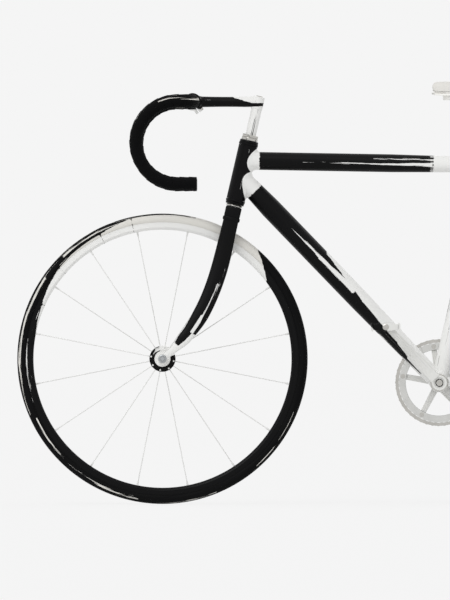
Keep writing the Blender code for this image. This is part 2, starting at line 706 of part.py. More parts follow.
def fork_top():
    """Make the crown, the steerer and the two races that turn with the fork."""
    half_chord = CROWN_CHORD / 2
    straight = FORK_BLADE_SPREAD_TOP
    end = FORK_BLADE_THICKNESS / 2
    turns = [math.radians(degrees) for degrees in range(90, -91, -30)]
    left = [(half_chord * math.sin(a), straight + end * math.cos(a)) for a in turns]
    outline = left + [(forward, -across) for forward, across in reversed(left)]
    rings = []
    for level in (CROWN_BOTTOM, CROWN_TOP):
        centre = on_steering_axis(level)
        rings.append([centre + STEER_FORWARD * forward + ACROSS * across for forward, across in outline])
    add_piece("fork_crown", skin(rings), FRAME_PAINT, FORK_BODY)

    steerer_inner = QUILL_RADIUS + GAP
    steerer_bottom = on_steering_axis(CROWN_TOP + GAP)
    steerer = sleeve(steerer_bottom, on_steering_axis(STEERER_TOP), STEERER_RADIUS, steerer_inner)
    add_piece("fork_steerer", steerer, STEEL, FORK_BODY)

    bore = STEERER_RADIUS + GAP
    race_bottom = on_steering_axis(CROWN_RACE_BOTTOM)
    add_piece("crown_race", sleeve(race_bottom, race_bottom + STEER_UP * RACE_HEIGHT, RACE_RADIUS, bore),
              STEEL, FORK_BODY)
    half = TOP_RACE_HEIGHT / 2
    narrow = (RACE_RADIUS + bore) / 2
    section = [
        (0, RACE_RADIUS), (half, RACE_RADIUS), (half, narrow), (TOP_RACE_HEIGHT, narrow),
        (TOP_RACE_HEIGHT, bore), (0, bore)]
    top_race = turned_ring(on_steering_axis(TOP_RACE_BOTTOM), STEER_UP, section)
    add_piece("headset_top_race", top_race, STEEL, FORK_BODY)


def axle_set(end, centre, locknut_width, holder_thickness, body):
    """Make an axle with its two locknuts turned in one, and a hexagon nut outside each holder."""
    radius = AXLE_DIAMETER / 2
    half = locknut_width / 2
    inside = CONE_LENGTH - half
    reach = half + GAP + holder_thickness + GAP + AXLE_NUT_HEIGHT + AXLE_TIP
    stations = [
        (-reach, radius), (-half, radius), (-half, CONE_RADIUS), (inside, CONE_RADIUS), (inside, radius)]
    stations += [(-along, around) for along, around in reversed(stations)]
    add_piece(f"{end}_axle", rod(centre, ACROSS, stations), STEEL, body)
    face = half + GAP + holder_thickness + GAP
    corner = AXLE_NUT_ACROSS / 2 / math.cos(math.pi / 6)
    bore = (radius + GAP) / math.cos(math.pi / 6)
    for name, side in (("left", 1), ("right", -1)):
        start = centre + ACROSS * side * face
        nut = sleeve(start, start + ACROSS * side * AXLE_NUT_HEIGHT, corner, bore, 6)
        add_piece(f"{end}_axle_nut_{name}", nut, STEEL, body)


fork_top()
fork_blade("fork_blade_left", 1)
fork_blade("fork_blade_right", -1)
axle_set("front", FRONT_AXLE, FRONT_LOCKNUT_WIDTH, FORK_TIP_THICKNESS, FORK_BODY)
axle_set("rear", REAR_AXLE, REAR_LOCKNUT_WIDTH, DROPOUT_THICKNESS, None)

# Stem and handlebar
STEM_BODY = body_empty("stem_axis", on_steering_axis(STEERER_TOP), STEER_UP)
BAR_BODY = body_empty("handlebar_axis", BAR_CENTRE)
BAR_RADIUS = BAR_DIAMETER / 2
BAR_BORE = BAR_RADIUS - BAR_WALL
SLEEVE_RADIUS = BAR_SLEEVE_DIAMETER / 2


def stem():
    """Make the quill stem with its clamp round the handlebar, and the wedge that locks it in the steerer."""
    quill_bottom = on_steering_axis(STEERER_TOP - QUILL_INSERTION)
    quill_top = on_steering_axis(STEM_HEIGHT + STEM_DIAMETER / 2)
    radius = STEM_DIAMETER / 2
    whole = add_piece(
        "stem", rod(on_steering_axis(STEM_HEIGHT), AHEAD, [(0, radius), (STEM_EXTENSION, radius)]),
        FRAME_PAINT, STEM_BODY)
    quill_length = (quill_top - quill_bottom).length
    quill = add_piece(
        "stem_quill", rod(quill_bottom, STEER_UP, [(0, QUILL_RADIUS), (quill_length, QUILL_RADIUS)]),
        FRAME_PAINT)
    clamp_start = BAR_CENTRE - ACROSS * STEM_CLAMP_WIDTH / 2
    stations = [(0, STEM_CLAMP_RADIUS), (STEM_CLAMP_WIDTH, STEM_CLAMP_RADIUS)]
    clamp = add_piece("stem_clamp", rod(clamp_start, ACROSS, stations), FRAME_PAINT)
    cut(whole, quill, "UNION")
    cut(whole, clamp, "UNION")
    cut(whole, cylinder_cutter(
        "handlebar_room", BAR_CENTRE - ACROSS * STEM_CLAMP_WIDTH, BAR_CENTRE + ACROSS * STEM_CLAMP_WIDTH,
        SLEEVE_RADIUS + GAP))
    wedge_bottom = quill_bottom - STEER_UP * (GAP + WEDGE_LENGTH)
    wedge = rod(wedge_bottom, STEER_UP, [(0, QUILL_RADIUS), (WEDGE_LENGTH, QUILL_RADIUS)])
    add_piece("stem_wedge", wedge, STEEL, STEM_BODY)


def half_bar_line():
    """Return the left half of the handlebar's centre line, from beside the stem clamp to the drop's end."""
    straight_end = BAR_HALF_WIDTH - BAR_CORNER_RADIUS
    line = [Vector((0, TAPE_START, 0))]
    for step in range(BAR_CORNER_STEPS + 1):
        turn = math.pi / 2 * step / BAR_CORNER_STEPS
        line.append(Vector((
            BAR_CORNER_RADIUS * (1 - math.cos(turn)), straight_end + BAR_CORNER_RADIUS * math.sin(turn), 0)))
    for step in range(1, BAR_HOOK_STEPS + 1):
        turn = math.pi * step / BAR_HOOK_STEPS
        line.append(Vector((
            BAR_CORNER_RADIUS + BAR_HOOK_RADIUS * math.sin(turn), BAR_HALF_WIDTH,
            BAR_HOOK_RADIUS * (math.cos(turn) - 1))))
    line.append(Vector((BAR_CORNER_RADIUS - BAR_TAIL, BAR_HALF_WIDTH, -2 * BAR_HOOK_RADIUS)))
    return [BAR_CENTRE + point for point in line]


def handlebar():
    """Make the drop handlebar with its tape and end plugs."""
    left = half_bar_line()
    sleeve_end = STEM_CLAMP_WIDTH / 2 + BAR_SLEEVE_BESIDE_CLAMP
    middle = []
    for place, radius in ((sleeve_end + GAP, BAR_RADIUS), (sleeve_end, SLEEVE_RADIUS)):
        middle.append((BAR_CENTRE + ACROSS * place, radius))
    right = [Vector((point.x, -point.y, point.z)) for point in left]
    points = left[::-1] + [point for point, _ in middle]
    points += [Vector((point.x, -point.y, point.z)) for point, _ in reversed(middle)] + right
    radii = [BAR_RADIUS] * len(left) + [BAR_RADIUS, SLEEVE_RADIUS, SLEEVE_RADIUS, BAR_RADIUS]
    radii += [BAR_RADIUS] * len(right)
    bar = pipe(points, radii, BAR_SIDES, [BAR_BORE] * len(points))
    add_piece("handlebar", bar, ALLOY, BAR_BODY)

    tape_inner = (BAR_RADIUS + GAP) / math.cos(math.pi / BAR_SIDES)
    tape_outer = BAR_RADIUS + TAPE_THICKNESS
    for name, side, line in (("left", 1, left), ("right", -1, right)):
        tape = pipe(line, [tape_outer] * len(line), BAR_SIDES, [tape_inner] * len(line))
        add_piece(f"bar_tape_{name}", tape, TAPE_CLOTH, BAR_BODY)
        plug_radius = BAR_BORE * math.cos(math.pi / BAR_SIDES) - GAP
        stations = [
            (-PLUG_LENGTH, plug_radius), (GAP, plug_radius), (GAP, tape_outer), (PLUG_CAP, tape_outer)]
        plug = rod(line[-1], line[-1] - line[-2], stations, BAR_SIDES)
        add_piece(f"bar_plug_{name}", plug, PLASTIC, BAR_BODY)


stem()
handlebar()

# Seat
SEATPOST_BODY = body_empty("seatpost_axis", SEAT_TUBE_TOP, SEAT_UP)
SADDLE_CLAMP = BRACKET + SEAT_UP * (SADDLE_HEIGHT - SADDLE_STACK)
SADDLE_CLAMP_BODY = body_empty("saddle_clamp_axis", SADDLE_CLAMP)
SADDLE_BODY = body_empty("saddle_slide_axis", SADDLE_CLAMP, AHEAD)


def seatpost():
    """Make the seatpost, a tube that narrows to a head under the saddle clamp."""
    start = SEAT_TUBE_TOP - SEAT_UP * SEATPOST_INSERTION
    length = (SADDLE_CLAMP - start).length - SADDLE_CLAMP_RADIUS - GAP
    outer = SEAT_BORE - GAP
    inner = outer - SEATPOST_WALL
    shoulder = length - SEATPOST_TAPER
    section = [
        (0, outer), (shoulder, outer), (length, SEATPOST_HEAD_RADIUS), (length, SEATPOST_VENT_RADIUS),
        (length - SEATPOST_HEAD_THICKNESS, SEATPOST_VENT_RADIUS), (shoulder, inner), (0, inner)]
    add_piece("seatpost", turned_ring(start, SEAT_UP, section), ALLOY, SEATPOST_BODY)


def saddle():
    """Make the clamp, the rails, the stiff shell and the padded cover."""
    rail_radius = RAIL_DIAMETER / 2
    half_clamp = RAIL_SPREAD + RAIL_DIAMETER
    stations = [(-half_clamp, SADDLE_CLAMP_RADIUS), (half_clamp, SADDLE_CLAMP_RADIUS)]
    clamp = add_piece("saddle_clamp", rod(SADDLE_CLAMP, ACROSS, stations), ALLOY, SADDLE_CLAMP_BODY)
    beyond = AHEAD * SADDLE_CLAMP_RADIUS * 2
    for name, side in (("left", 1), ("right", -1)):
        middle = SADDLE_CLAMP + ACROSS * side * RAIL_SPREAD
        cut(clamp, cylinder_cutter(
            f"rail_room_{name}", middle - beyond, middle + beyond, rail_radius + GAP, ROUND_SIDES))

    tail = -SADDLE_LENGTH / 2 + SADDLE_SETBACK
    nose = tail + SADDLE_LENGTH
    left = [
        (tail + RAIL_TAIL_INSET, RAIL_REAR_SPREAD, RAIL_RISE), (-RAIL_HALF_STRAIGHT, RAIL_SPREAD, 0),
        (RAIL_HALF_STRAIGHT, RAIL_SPREAD, 0), (nose - RAIL_NOSE_INSET, RAIL_NOSE_SPREAD, RAIL_RISE)]
    line = left + [(along, -across, up) for along, across, up in reversed(left)]
    points = [SADDLE_CLAMP + Vector(place) for place in line]
    add_piece("saddle_rails", pipe(points, [rail_radius] * len(points), RAIL_SIDES), STEEL, SADDLE_BODY)

    shell_under = RAIL_RISE + RAIL_DIAMETER + GAP
    shell_rings = []
    pad_rings = []
    for share, width_share in SADDLE_OUTLINE:
        along = tail + SADDLE_LENGTH * share
        half = SADDLE_WIDTH / 2 * width_share
        crown = half * SADDLE_CROWN
        places = [half * step / SADDLE_POINTS for step in range(-SADDLE_POINTS, SADDLE_POINTS + 1)]
        under = [(y, shell_under - crown * (y / half) ** 2) for y in places]
        over = [(y, z + SADDLE_SHELL_THICKNESS) for y, z in under]
        shell_rings.append(under + over[::-1])
        soft = [(y, z + GAP) for y, z in over]
        swell = []
        for y, z in soft:
            dome = math.sqrt(max(0, 1 - (y / half) ** 2))
            swell.append((y, z + SADDLE_PAD_THICKNESS * (SADDLE_PAD_EDGE + (1 - SADDLE_PAD_EDGE) * dome)))
        pad_rings.append(soft + swell[::-1])
        for rings in (shell_rings, pad_rings):
            rings[-1] = [SADDLE_CLAMP + Vector((along, y, z)) for y, z in rings[-1]]
    add_piece("saddle_shell", skin(shell_rings), PLASTIC, SADDLE_BODY)
    add_piece("saddle_pad", skin(pad_rings), SADDLE_BLACK, SADDLE_BODY)


seatpost()
saddle()


# Wheels
FRONT_WHEEL_BODY = body_empty("front_wheel_axis", FRONT_AXLE)
REAR_WHEEL_BODY = body_empty("rear_wheel_axis", REAR_AXLE)
TYRE_RADIUS = TYRE_HEIGHT / 2
TYRE_CENTRE_RADIUS = RIM_SEAT_RADIUS + TYRE_RADIUS
RIM_INNER_RADIUS = RIM_SEAT_RADIUS - RIM_DEPTH


def tyre_and_rim(end, centre, body):
    """Make a sewn tubular tyre, modelled solid, and the hollow-backed rim that it is glued to."""
    tyre = []
    for step in range(TYRE_POINTS):
        turn = math.pi / 2 + 2 * math.pi * step / TYRE_POINTS
        tyre.append((TYRE_WIDTH / 2 * math.cos(turn), TYRE_CENTRE_RADIUS + TYRE_RADIUS * math.sin(turn)))
    add_piece(f"{end}_tyre", turned_ring(centre, ACROSS, tyre, WHEEL_SIDES), TYRE_RUBBER, body)

    wall = RIM_WIDTH / 2
    lip = wall - GAP * 2
    seat = []
    for across in (-lip, -lip / 2, 0, lip / 2, lip):
        below = math.sqrt((TYRE_RADIUS + GAP) ** 2 - across ** 2)
        seat.append((across, TYRE_CENTRE_RADIUS - below))
    brake_top = seat[-1][1] - GAP
    shoulder = RIM_INNER_RADIUS + RIM_SHOULDER_HEIGHT
    bed = RIM_BED_WIDTH / 2
    section = seat + [
        (wall, brake_top), (wall, shoulder), (bed, RIM_INNER_RADIUS), (-bed, RIM_INNER_RADIUS),
        (-wall, shoulder), (-wall, brake_top)]
    add_piece(f"{end}_rim", turned_ring(centre, ACROSS, section, WHEEL_SIDES), RIM_BLACK, body)


def hub_shell(end, centre, locknut_width, flange_spacing, end_radius, body):
    """Make a large-flange hub shell with its bore round the axle."""
    bore = AXLE_DIAMETER / 2 + HUB_BORE_CLEARANCE
    tip = locknut_width / 2 - CONE_LENGTH - GAP
    inner = flange_spacing / 2
    outer = inner + FLANGE_THICKNESS
    half = [
        (inner, HUB_BARREL_RADIUS), (inner, FLANGE_RADIUS), (outer, FLANGE_RADIUS), (outer, end_radius),
        (tip, end_radius), (tip, bore)]
    section = half + [(-along, radius) for along, radius in reversed(half)]
    add_piece(f"{end}_hub_shell", turned_ring(centre, ACROSS, section), FRAME_PAINT, body)


def spoke_set(end, centre, count, flange_spacing, side, name, shift, body):
    """Make one side's radial spokes with their nipples, held together by a ring round the flange."""
    level = side * (flange_spacing + FLANGE_THICKNESS) / 2
    hub_side = centre + ACROSS * level
    half_ring = ACROSS * SPOKE_RING_HALF_THICKNESS
    ring_sides = count * 2
    start = FLANGE_RADIUS + GAP
    corner = start / math.cos(math.pi / ring_sides)
    ring = sleeve(
        hub_side - half_ring, hub_side + half_ring, corner + SPOKE_RING_WIDTH, corner, ring_sides)
    whole = add_piece(f"{end}_spokes_{name}", ring, STEEL, body)
    far = RIM_INNER_RADIUS * math.cos(math.pi / WHEEL_SIDES) - GAP
    rim_side = centre + ACROSS * side * NIPPLE_OFFSET
    spokes = bmesh.new()
    for step in range(count):
        turn = 2 * math.pi * (step + shift) / count
        outward = Vector((math.cos(turn), 0, math.sin(turn)))
        near_end = hub_side + outward * (start + SPOKE_ROOT)
        far_end = rim_side + outward * far
        length = (far_end - near_end).length
        thin = SPOKE_DIAMETER / 2
        thick = NIPPLE_DIAMETER / 2
        nipple = length - NIPPLE_LENGTH
        stations = [(0, thin), (nipple, thin), (nipple, thick), (length, thick)]
        one = rod(near_end, far_end - near_end, stations, SPOKE_SIDES)
        single = bpy.data.meshes.new("one_spoke")
        one.to_mesh(single)
        one.free()
        spokes.from_mesh(single)
        bpy.data.meshes.remove(single)
    cut(whole, add_piece(f"{end}_spokes_{name}_bars", spokes, STEEL), "UNION")


def wheel(end, centre, spokes, locknut_width, flange_spacing, end_radius, body):
    """Make one wheel's tyre, rim, hub shell and both sets of spokes."""
    tyre_and_rim(end, centre, body)
    hub_shell(end, centre, locknut_width, flange_spacing, end_radius, body)
    spoke_set(end, centre, spokes, flange_spacing, 1, "left", SPOKE_SHIFT_LEFT, body)
    spoke_set(end, centre, spokes, flange_spacing, -1, "right", SPOKE_SHIFT_RIGHT, body)


wheel("front", FRONT_AXLE, FRONT_SPOKES_A_SIDE, FRONT_LOCKNUT_WIDTH, FRONT_FLANGE_SPACING,
      FRONT_HUB_END_RADIUS, FRONT_WHEEL_BODY)
wheel("rear", REAR_AXLE, REAR_SPOKES_A_SIDE, REAR_LOCKNUT_WIDTH, REAR_FLANGE_SPACING,
      REAR_HUB_END_RADIUS, REAR_WHEEL_BODY)

# Drivetrain
CRANK_BODY = body_empty("crank_axis", BRACKET)
CHAIN_PLANE = ACROSS * -CHAIN_LINE
TOOTH_ROOT = CHAIN_PLATE_HEIGHT / 2 + TOOTH_ROOT_CLEARANCE
RING_ROOT_RADIUS = RING_RADIUS - TOOTH_ROOT
BOLT_CIRCLE_RADIUS = RING_ROOT_RADIUS - RING_RIM_WIDTH / 2


def sprocket_outline(pitch_radius, teeth, first_roller):
    """Return a toothed wheel's outline, with the gap for a roller at the given angle."""
    outline = []
    root = pitch_radius - TOOTH_ROOT
    tip = pitch_radius + TOOTH_HEIGHT
    for tooth in range(teeth):
        middle = first_roller + 2 * math.pi * (tooth + 0.5) / teeth
        for radius, shift in ((root, -TOOTH_HALF_BASE), (tip, -TOOTH_HALF_TIP), (tip, TOOTH_HALF_TIP),
                              (root, TOOTH_HALF_BASE)):
            turn = middle + shift / radius
            outline.append((radius * math.cos(turn), radius * math.sin(turn)))
    return outline


def sprockets():
    """Make the chainring and the fixed cog, each with a roller gap at the middle of the chain's wrap."""
    half = SPROCKET_THICKNESS / 2
    beyond = ACROSS * SPROCKET_THICKNESS
    ring = add_piece("chainring", plate(
        sprocket_outline(RING_RADIUS, RING_TEETH, 0), BRACKET, STAY_LINE, STAY_RISE,
        -CHAIN_LINE - half, -CHAIN_LINE + half), ALLOY, CRANK_BODY)
    middle = BRACKET + CHAIN_PLANE
    cut(ring, cylinder_cutter(
        "chainring_window", middle - beyond, middle + beyond, RING_ROOT_RADIUS - RING_RIM_WIDTH))
    cog = add_piece("fixed_cog", plate(
        sprocket_outline(COG_RADIUS, COG_TEETH, math.pi), REAR_AXLE, STAY_LINE, STAY_RISE,
        -CHAIN_LINE - half, -CHAIN_LINE + half), STEEL, REAR_WHEEL_BODY)
    middle = REAR_AXLE + CHAIN_PLANE
    cut(cog, cylinder_cutter("cog_bore", middle - beyond, middle + beyond, REAR_HUB_END_RADIUS + GAP))


def chain_place(distance):
    """Return a point on the chain's pitch line and its direction, as angles and places beside the frame."""
    lean = math.asin((RING_RADIUS - COG_RADIUS) / CHAIN_STAY_LENGTH)
    contact = math.pi / 2 + lean
    ring_half = RING_RADIUS * contact
    run = CHAIN_STAY_LENGTH * math.cos(lean)
    whole = CHAIN_LINKS * CHAIN_PITCH
    side = 1
    if distance > whole / 2:
        distance = whole - distance
        side = -1
    if distance <= ring_half:
        turn = distance / RING_RADIUS
        place = (RING_RADIUS * math.cos(turn), RING_RADIUS * math.sin(turn))
        heading = turn + math.pi / 2
    elif distance <= ring_half + run:
        heading = contact + math.pi / 2
        gone = distance - ring_half
        place = (
            RING_RADIUS * math.cos(contact) + gone * math.cos(heading),
            RING_RADIUS * math.sin(contact) + gone * math.sin(heading))
    else:
        turn = contact + (distance - ring_half - run) / COG_RADIUS
        place = (COG_RADIUS * math.cos(turn) - CHAIN_STAY_LENGTH, COG_RADIUS * math.sin(turn))
        heading = turn + math.pi / 2
    point = BRACKET + CHAIN_PLANE + STAY_LINE * place[0] + STAY_RISE * place[1] * side
    along = STAY_LINE * math.cos(heading) * side + STAY_RISE * math.sin(heading)
    return point, along


def chain():
    """Make the chain as one closed ladder: two plates joined by a block at each roller."""
    bm = bmesh.new()
    inner = CHAIN_INNER_WIDTH / 2
    outer = inner + CHAIN_PLATE
    high = CHAIN_PLATE_HEIGHT / 2
    rungs = []
    for link in range(CHAIN_LINKS):
        point, along = chain_place(link * CHAIN_PITCH)
        outward = along.cross(ACROSS)
        for end in (-1, 1):
            middle = point + along * end * ROLLER_SIZE / 2
            corners = {}
            for across in (-outer, -inner, inner, outer):
                for up in (-high, high):
                    corners[across, up] = bm.verts.new(middle + ACROSS * across + outward * up)
            rungs.append(corners)
    for index, here in enumerate(rungs):
        there = rungs[(index + 1) % len(rungs)]
        opens = index % 2 == 1
        strips = [(-outer, -inner), (inner, outer)]
        walls = [-outer, outer]
        if opens:
            walls += [-inner, inner]
        else:
            strips.append((-inner, inner))
        for low, top in strips:
            for up in (-high, high):
                bm.faces.new((here[low, up], here[top, up], there[top, up], there[low, up]))
        for side in walls:
            bm.faces.new((here[side, -high], here[side, high], there[side, high], there[side, -high]))
        bm.faces.new((here[-inner, -high], here[inner, -high], here[inner, high], here[-inner, high]))
    add_piece("chain", bm, STEEL)


CRANK_OUT = Vector((math.cos(CRANK_REST_ANGLE), 0, math.sin(CRANK_REST_ANGLE)))
CRANK_UP = Vector((-math.sin(CRANK_REST_ANGLE), 0, math.cos(CRANK_REST_ANGLE)))


def crank_arm(name, side):
    """Make one crank arm with its boss round the spindle, and on the right the chainring's spider."""
    out = CRANK_OUT * side
    up = CRANK_UP * side
    wide = CRANK_WIDTH / 2
    narrow = CRANK_TIP_WIDTH / 2
    ends = [math.radians(degrees) for degrees in range(-90, 91, 30)]
    outline = [(CRANK_LENGTH + narrow * math.cos(a), narrow * math.sin(a)) for a in ends]
    outline += [(-wide * math.cos(a), wide * math.sin(a)) for a in reversed(ends)]
    inner = CRANK_TREAD * side
    outer = (CRANK_TREAD + CRANK_THICKNESS) * side
    arm = add_piece(f"crank_arm_{name}", plate(outline, BRACKET, out, up, inner, outer), ALLOY, CRANK_BODY)
    spider_face = CHAIN_LINE + SPROCKET_THICKNESS / 2 + GAP
    boss_start = spider_face if side < 0 else CRANK_BOSS_START
    boss_length = CRANK_TREAD + CRANK_THICKNESS - CRANK_BOSS_SUNK - boss_start
    boss = rod(BRACKET + ACROSS * side * boss_start, ACROSS * side,
               [(0, CRANK_BOSS_RADIUS), (boss_length, CRANK_BOSS_RADIUS)])
    cut(arm, add_piece(f"crank_boss_{name}", boss, ALLOY), "UNION")
    if side < 0:
        for step in range(SPIDER_ARMS):
            turn = 2 * math.pi * step / SPIDER_ARMS
            reach = out * math.cos(turn) + up * math.sin(turn)
            beside = up * math.cos(turn) - out * math.sin(turn)
            half = SPIDER_ARM_WIDTH / 2
            tip = SPIDER_TIP_WIDTH / 2
            far = BOLT_CIRCLE_RADIUS + SPIDER_BEYOND_BOLT
            shape = [(0, -half), (far, -tip), (far, tip), (0, half)]
            leg = plate(shape, BRACKET, reach, beside, -spider_face, -spider_face - SPIDER_THICKNESS)
            cut(arm, add_piece(f"spider_{step}", leg, ALLOY), "UNION")
    far_side = BRACKET + ACROSS * side * (CRANK_TREAD + CRANK_THICKNESS * 2)
    cut(arm, cylinder_cutter(f"spindle_room_{name}", BRACKET, far_side, SPINDLE_RADIUS + GAP, ROUND_SIDES))
    eye = BRACKET + out * CRANK_LENGTH
    cut(arm, cylinder_cutter(
        f"pedal_room_{name}", eye, eye + ACROSS * side * (CRANK_TREAD + CRANK_THICKNESS * 2),
        PEDAL_SPINDLE_DIAMETER / 2 + GAP, ROUND_SIDES))
    return eye


def pedal(name, side, eye):
    """Make a pedal's spindle, screwed into the crank arm, and the platform that turns on it."""
    radius = PEDAL_SPINDLE_DIAMETER / 2
    face = CRANK_THICKNESS + GAP
    collar_end = face + PEDAL_COLLAR_LENGTH
    length = collar_end + GAP + PEDAL_WIDTH - PEDAL_WALL
    start = eye + ACROSS * side * CRANK_TREAD
    stations = [
        (0, radius), (face, radius), (face, PEDAL_COLLAR_RADIUS), (collar_end, PEDAL_COLLAR_RADIUS),
        (collar_end, radius), (length, radius)]
    add_piece(f"pedal_spindle_{name}", rod(start, ACROSS * side, stations), STEEL, CRANK_BODY)
    near = CRANK_TREAD + collar_end + GAP
    centre = eye + ACROSS * side * (near + PEDAL_WIDTH / 2)
    body = body_empty(f"pedal_axis_{name}", centre)
    half_length = PEDAL_LENGTH / 2
    half_height = PEDAL_HEIGHT / 2
    half_width = PEDAL_WIDTH / 2
    short = half_length - PEDAL_BEVEL
    low = half_height - PEDAL_BEVEL
    shape = [
        (-half_length, -low), (-half_length, low), (-short, half_height), (short, half_height),
        (half_length, low), (half_length, -low), (short, -half_height), (-short, -half_height)]
    platform = add_piece(f"pedal_{name}", plate(
        shape, centre, AHEAD, UPWARD, -half_width, half_width), PLASTIC, body)
    for end, place in (("front", 1), ("back", -1)):
        near_edge = PEDAL_CORE / 2 * place
        far_edge = (half_length - PEDAL_WALL) * place
        window = [(near_edge, -half_height * 2), (far_edge, -half_height * 2), (far_edge, half_height * 2),
                  (near_edge, half_height * 2)]
        deep = half_width - PEDAL_WALL
        cut(platform, add_piece(f"pedal_window_{name}_{end}", plate(
            window, centre, AHEAD, UPWARD, -deep, deep), PLASTIC))
    cut(platform, cylinder_cutter(
        f"pedal_bore_{name}", centre - ACROSS * half_width * 2, centre + ACROSS * half_width * 2,
        radius + GAP, ROUND_SIDES))


def spindle():
    """Make the square-shouldered crank axle that runs through the bottom bracket cups."""
    reach = CRANK_TREAD + CRANK_THICKNESS - SPINDLE_SUNK
    bar = rod(BRACKET, ACROSS, [(-reach, SPINDLE_RADIUS), (reach, SPINDLE_RADIUS)])
    add_piece("crank_spindle", bar, STEEL, CRANK_BODY)


sprockets()
chain()
spindle()
for crank_side, direction in (("left", 1), ("right", -1)):
    pedal(crank_side, direction, crank_arm(crank_side, direction))
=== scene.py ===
import json
import math

import bmesh
import bpy
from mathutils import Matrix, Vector

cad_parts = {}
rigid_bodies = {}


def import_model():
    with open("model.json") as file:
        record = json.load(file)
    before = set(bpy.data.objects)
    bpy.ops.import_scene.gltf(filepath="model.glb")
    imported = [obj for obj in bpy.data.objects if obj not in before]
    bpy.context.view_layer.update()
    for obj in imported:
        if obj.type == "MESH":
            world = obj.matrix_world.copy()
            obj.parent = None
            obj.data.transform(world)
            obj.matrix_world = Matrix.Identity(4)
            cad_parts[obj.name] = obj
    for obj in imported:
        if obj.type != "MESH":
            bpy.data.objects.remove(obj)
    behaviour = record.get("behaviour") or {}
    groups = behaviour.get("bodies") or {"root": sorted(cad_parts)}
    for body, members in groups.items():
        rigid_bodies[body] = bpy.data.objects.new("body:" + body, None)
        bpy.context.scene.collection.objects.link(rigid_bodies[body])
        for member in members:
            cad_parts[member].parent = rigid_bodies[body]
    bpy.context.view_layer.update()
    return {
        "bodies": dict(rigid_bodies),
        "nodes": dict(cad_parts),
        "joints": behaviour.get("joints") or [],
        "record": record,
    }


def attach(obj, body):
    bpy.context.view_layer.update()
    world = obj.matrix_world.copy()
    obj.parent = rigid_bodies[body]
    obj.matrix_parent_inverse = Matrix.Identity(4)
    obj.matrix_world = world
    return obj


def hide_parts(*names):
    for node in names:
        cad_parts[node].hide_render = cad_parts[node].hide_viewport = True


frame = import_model()

# The paper-white stage and the view
# The reference is a side view on pale paper, so the floor and the sky take one paper colour. The floor
# keeps a faint shadow. A long lens from the bicycle's left keeps the side view flat.
AHEAD = Vector((1, 0, 0))
ACROSS = Vector((0, 1, 0))
UPWARD = Vector((0, 0, 1))
PAPER = "#F5F5F5"
FLOOR_PAPER = "#F7F7F7"
SKY_WHITE = "#FFFFFF"
SHADOW_SHARE = 0.22
FLOOR_GLOW = 1.02
FLOOR_HALF = 120.0
SKY_LIGHT = 0.60
LENS_SENSOR = 36.0
CAMERA_DISTANCE = 40.0
MM_PER_PIXEL = 2.128
FRAME_HEIGHT_PIXELS = 600
# Where the reference's picture centre falls on the bicycle
VIEW_CENTRE = Vector((0.3476, 0, 0.4340))
# Strength, spread in degrees, and the way the light comes from
SUNS = ((1.10, 35.0, Vector((0.45, 0.75, 0.85))), (0.35, 60.0, Vector((-0.7, -0.6, 0.5))))


def linear(code):
    """Return an sRGB hex colour as linear red, green, blue and alpha."""
    parts = [int(code[place:place + 2], 16) / 255 for place in (1, 3, 5)]
    return [part / 12.92 if part <= 0.04045 else ((part + 0.055) / 1.055) ** 2.4 for part in parts] + [1.0]


def wire(tree, node, sockets):
    """Set or link a node's inputs. A node that is given as a value stands for its first output."""
    for name, value in sockets.items():
        if isinstance(value, bpy.types.Node):
            value = value.outputs[0]
        if isinstance(value, bpy.types.NodeSocket):
            tree.links.new(value, node.inputs[name])
        else:
            node.inputs[name].default_value = value


def add(tree, kind, sockets=None, **settings):
    """Add a node to a tree, with its settings, and its inputs set or linked."""
    node = tree.nodes.new(kind)
    for name, value in settings.items():
        setattr(node, name, value)
    wire(tree, node, sockets or {})
    return node


def maths(tree, operation, *values, **settings):
    """Add a node that works out one number from up to three."""
    return add(tree, "ShaderNodeMath", dict(enumerate(values)), operation=operation, **settings)


def vectors(tree, operation, *values):
    """Add a node that works out a place, a direction or a length from up to two places or directions."""
    return add(tree, "ShaderNodeVectorMath", dict(enumerate(values)), operation=operation)


def own_place(tree):
    """Return a socket with the place of each point of a surface, in metres."""
    return add(tree, "ShaderNodeTexCoord").outputs["Object"]


def noise(tree, place, size_mm, detail):
    """Add a noise pattern whose blotches have a size in millimetres."""
    return add(tree, "ShaderNodeTexNoise", {"Vector": place, "Scale": 1000 / size_mm, "Detail": detail})


def relief(tree, height, strength, depth):
    """Add a node that raises a surface where a pattern is high, by a depth in metres."""
    return add(tree, "ShaderNodeBump", {"Height": height, "Strength": strength, "Distance": depth})


def clouded(tree, cloud, colour, share, lift=0.0):
    """Return a colour that turns, where a cloud is high, into a share of itself and a little more."""
    other = [part * share + lift for part in linear(colour)[:3]] + [1.0]
    return add(tree, "ShaderNodeMix", {0: cloud, 6: linear(colour), 7: other}, data_type="RGBA").outputs[2]


def placed(name, data):
    """Return a new object in the scene that holds a mesh, a lamp or a camera."""
    holder = bpy.data.objects.new(name, data)
    bpy.context.scene.collection.objects.link(holder)
    return holder


def seen_directly(tree):
    """Return a socket that is 1 for rays from the camera, a mirror surface or glass."""
    rays = add(tree, "ShaderNodeLightPath")
    first = maths(tree, "MAXIMUM", rays.outputs["Is Camera Ray"], rays.outputs["Is Glossy Ray"])
    return maths(tree, "MAXIMUM", first, rays.outputs["Is Transmission Ray"]).outputs[0]


